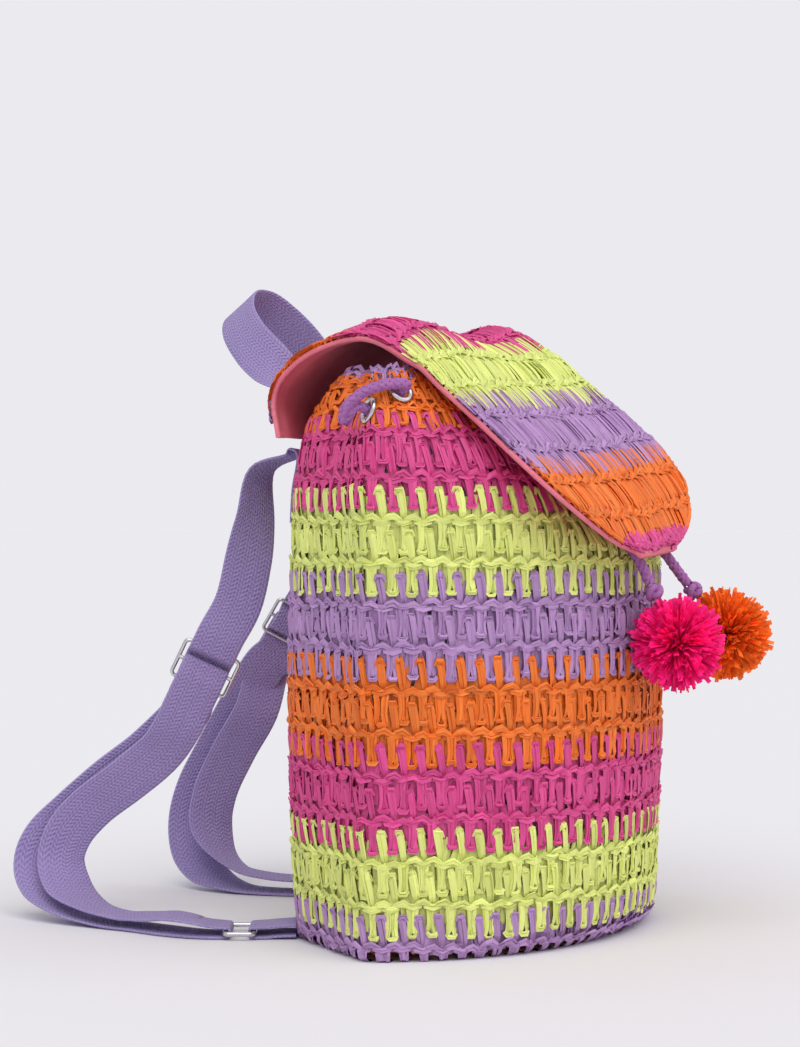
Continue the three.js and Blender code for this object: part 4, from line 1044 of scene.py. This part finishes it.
def lacing_half(side, sign):
    at = lambda s, out: BODY.at(s * sign % STITCHES, EYELET_HEIGHT, out)
    return [
        *passage(f"front_{side}", 3, -8), at(5, -13), at(9, -12), at(12, -12),
        *passage(f"side_front_{side}", -8, 7),
        *[np.array((x * sign, y, z), float) for x, y, z in SIDE_LOOP],
        *passage(f"side_back_{side}", 8, -8), at(21, -14), at(24, -15), at(28, -14),
        *passage(f"back_{side}", -9, 4), at(33.2, 5.6),
    ]


braid("lacing_cord", catmull(lacing_half("left", 1) + lacing_half("right", -1)[::-1], 8), "drawcord_lacing")

TAIL_LIFT = 1.8 + CORD_DIAMETER / 2 + 0.5
TAIL_HEIGHTS = [261, 247, 233, 219, 207]
TAILS = {
    "left": ([2.7, 2.3, 1.9, 1.6, 1.5], [(-12.5, -87, 193), (-10.8, -91.2, 185.3), (-9.7, -94.3, 178)]),
    "right": ([-2.9, -3, -3.1, -3.2, -3.2], [(31, -86.5, 192), (35.4, -91.6, 183.1), (38.3, -95.6, 176.8)]),
}
POM_RADIUS, POM_RIBBONS = 23, 1050
KNOT_MIDDLE, KNOT_REACH, KNOT_RADIUS, KNOT_SWING, KNOT_CORD = 4.6, 2.3, 2.5, 1.0, 1.75
for side, (stitches, free) in TAILS.items():
    along_wall = [BODY.at(stitch % STITCHES, v, TAIL_LIFT) for stitch, v in zip(stitches, TAIL_HEIGHTS)]
    ends = [through(f"front_{side}", 3.4), through(f"front_{side}", 5.2)]
    route = ends + along_wall + [np.array(p, float) for p in free]
    line = catmull(route, 6)
    cord = braid(f"tail_cord_{side}", line, f"drawcord_tail_{side}")
    # An overhand knot at the end of the cord
    end = line[-1]
    down = unit(line[-1] - line[-5])
    first = unit(np.cross(down, (1.0, 0.2, 0)))
    second = np.cross(down, first)
    loop = []
    for t in np.linspace(0, 2 * math.pi, 61)[:-1]:
        spoke = first * math.cos(2 * t) + second * math.sin(2 * t)
        drop = KNOT_MIDDLE + KNOT_REACH * math.sin(3 * t)
        loop.append(end + down * drop + spoke * (KNOT_RADIUS + KNOT_SWING * math.cos(3 * t)))
    knot = cord_piece(f"knot_cord_{side}", *tube(loop, KNOT_CORD, 10, True), f"drawcord_knot_{side}")
    # The pom-pom: cut ribbons standing out all round
    low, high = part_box(f"pompom_{side}")
    middle = np.array((low + high) / 2) / MM
    count = POM_RIBBONS
    k = np.arange(count) + 0.5
    polar, turn = np.arccos(1 - 2 * k / count), math.pi * (1 + 5**0.5) * k
    ray = np.stack([np.cos(turn) * np.sin(polar), np.sin(turn) * np.sin(polar), np.cos(polar)], -1)
    ray = unit(ray + rng.normal(0, 0.09, ray.shape))
    bend = np.cross(ray, unit(rng.normal(0, 1, ray.shape))) * rng.uniform(0, 6, (count, 1))
    reach = POM_RADIUS * np.clip(rng.normal(0.97, 0.06, (count, 1, 1)), 0.8, 1.12)
    t = np.linspace(0.2, 1, 4)[None, :, None]
    centre_line = middle + ray[:, None] * t * reach + bend[:, None] * t**2
    guide = np.broadcast_to(unit(np.cross(ray, rng.normal(0, 1, ray.shape)))[:, None], centre_line.shape)
    half = np.array([0.5, 0.95, 1.25, 1.15]) * rng.uniform(0.75, 1.25, (count, 1))
    roll = rng.uniform(-1, 1, (count, 1))
    pom = Yarn()
    # tone 1.26 lifts the pom ribbons above the same raffia elsewhere: painted light against their own deep
    # self-shadow.
    ribbons(pom, centre_line, guide, half, thick=0.3, roll=roll, tone=1.26, spread=0.14, crease=0.16)
    look = "magenta" if side == "left" else "orange"
    tuft = pom.build(f"pompom_tuft_{side}", look, f"pompom_{side}")
    length = float(np.sum(np.linalg.norm(np.diff(line, axis=0), axis=1))) * MM

# Stage, lights and camera
BACKDROP = linear((235, 234, 239))


def stage_material():
    m = Nodes("pale_floor")
    m.feed("Base Color", (0.792, 0.779, 0.808, 1))
    m.feed("Roughness", 0.9)
    m.feed("Specular IOR Level", 0.1)
    return m.material


FLOOR_REACH = 90000
corners = np.array([(-1, -1, 0), (1, -1, 0), (1, 1, 0), (-1, 1, 0)]) * FLOOR_REACH
floor = mesh_object("floor", corners, [[0, 1, 2, 3]], flat=True)
floor.data.materials.append(stage_material())

world = bpy.data.worlds.new("studio")
bpy.context.scene.world = world
world.use_nodes = True
tree = world.node_tree
background = tree.nodes["Background"]
background.inputs["Color"].default_value = (0.97, 0.98, 1.0, 1)
background.inputs["Strength"].default_value = 0.62
seen = tree.nodes.new("ShaderNodeBackground")
seen.inputs["Color"].default_value = BACKDROP
seen.inputs["Strength"].default_value = 1.0
paths = tree.nodes.new("ShaderNodeLightPath")
chooser = tree.nodes.new("ShaderNodeMixShader")
tree.links.new(paths.outputs["Is Camera Ray"], chooser.inputs[0])
tree.links.new(background.outputs[0], chooser.inputs[1])
tree.links.new(seen.outputs[0], chooser.inputs[2])
tree.links.new(chooser.outputs[0], tree.nodes["World Output"].inputs["Surface"])

for name, strength, angle, direction in (
    ("key", 1.4, 60, (0.6, 0.35, -1.0)),
    ("fill", 0.55, 60, (-0.2, 0.8, -0.55)),
):
    lamp = bpy.data.lights.new(name, "SUN")
    lamp.energy = strength
    lamp.angle = math.radians(angle)
    thing = bpy.data.objects.new(name, lamp)
    thing.rotation_euler = Vector(direction).to_track_quat("-Z", "Y").to_euler()
    bpy.context.scene.collection.objects.link(thing)

CAMERA_PLACE, CAMERA_AZIMUTH = (-1184, -573, 208), -62.18
FOCAL_PIXELS, IMAGE_HEIGHT, SENSOR = 2532, 1047, 36
camera = bpy.data.objects.new("camera", bpy.data.cameras.new("camera"))
camera.data.sensor_fit = "VERTICAL"
camera.data.sensor_height = SENSOR
camera.data.lens = FOCAL_PIXELS * SENSOR / IMAGE_HEIGHT
camera.data.clip_end = 1000
camera.location = Vector(CAMERA_PLACE) * MM
camera.rotation_euler = (math.pi / 2, 0, math.radians(CAMERA_AZIMUTH))
bpy.context.scene.collection.objects.link(camera)
bpy.context.scene.camera = camera
bpy.context.scene.view_settings.view_transform = "Standard"
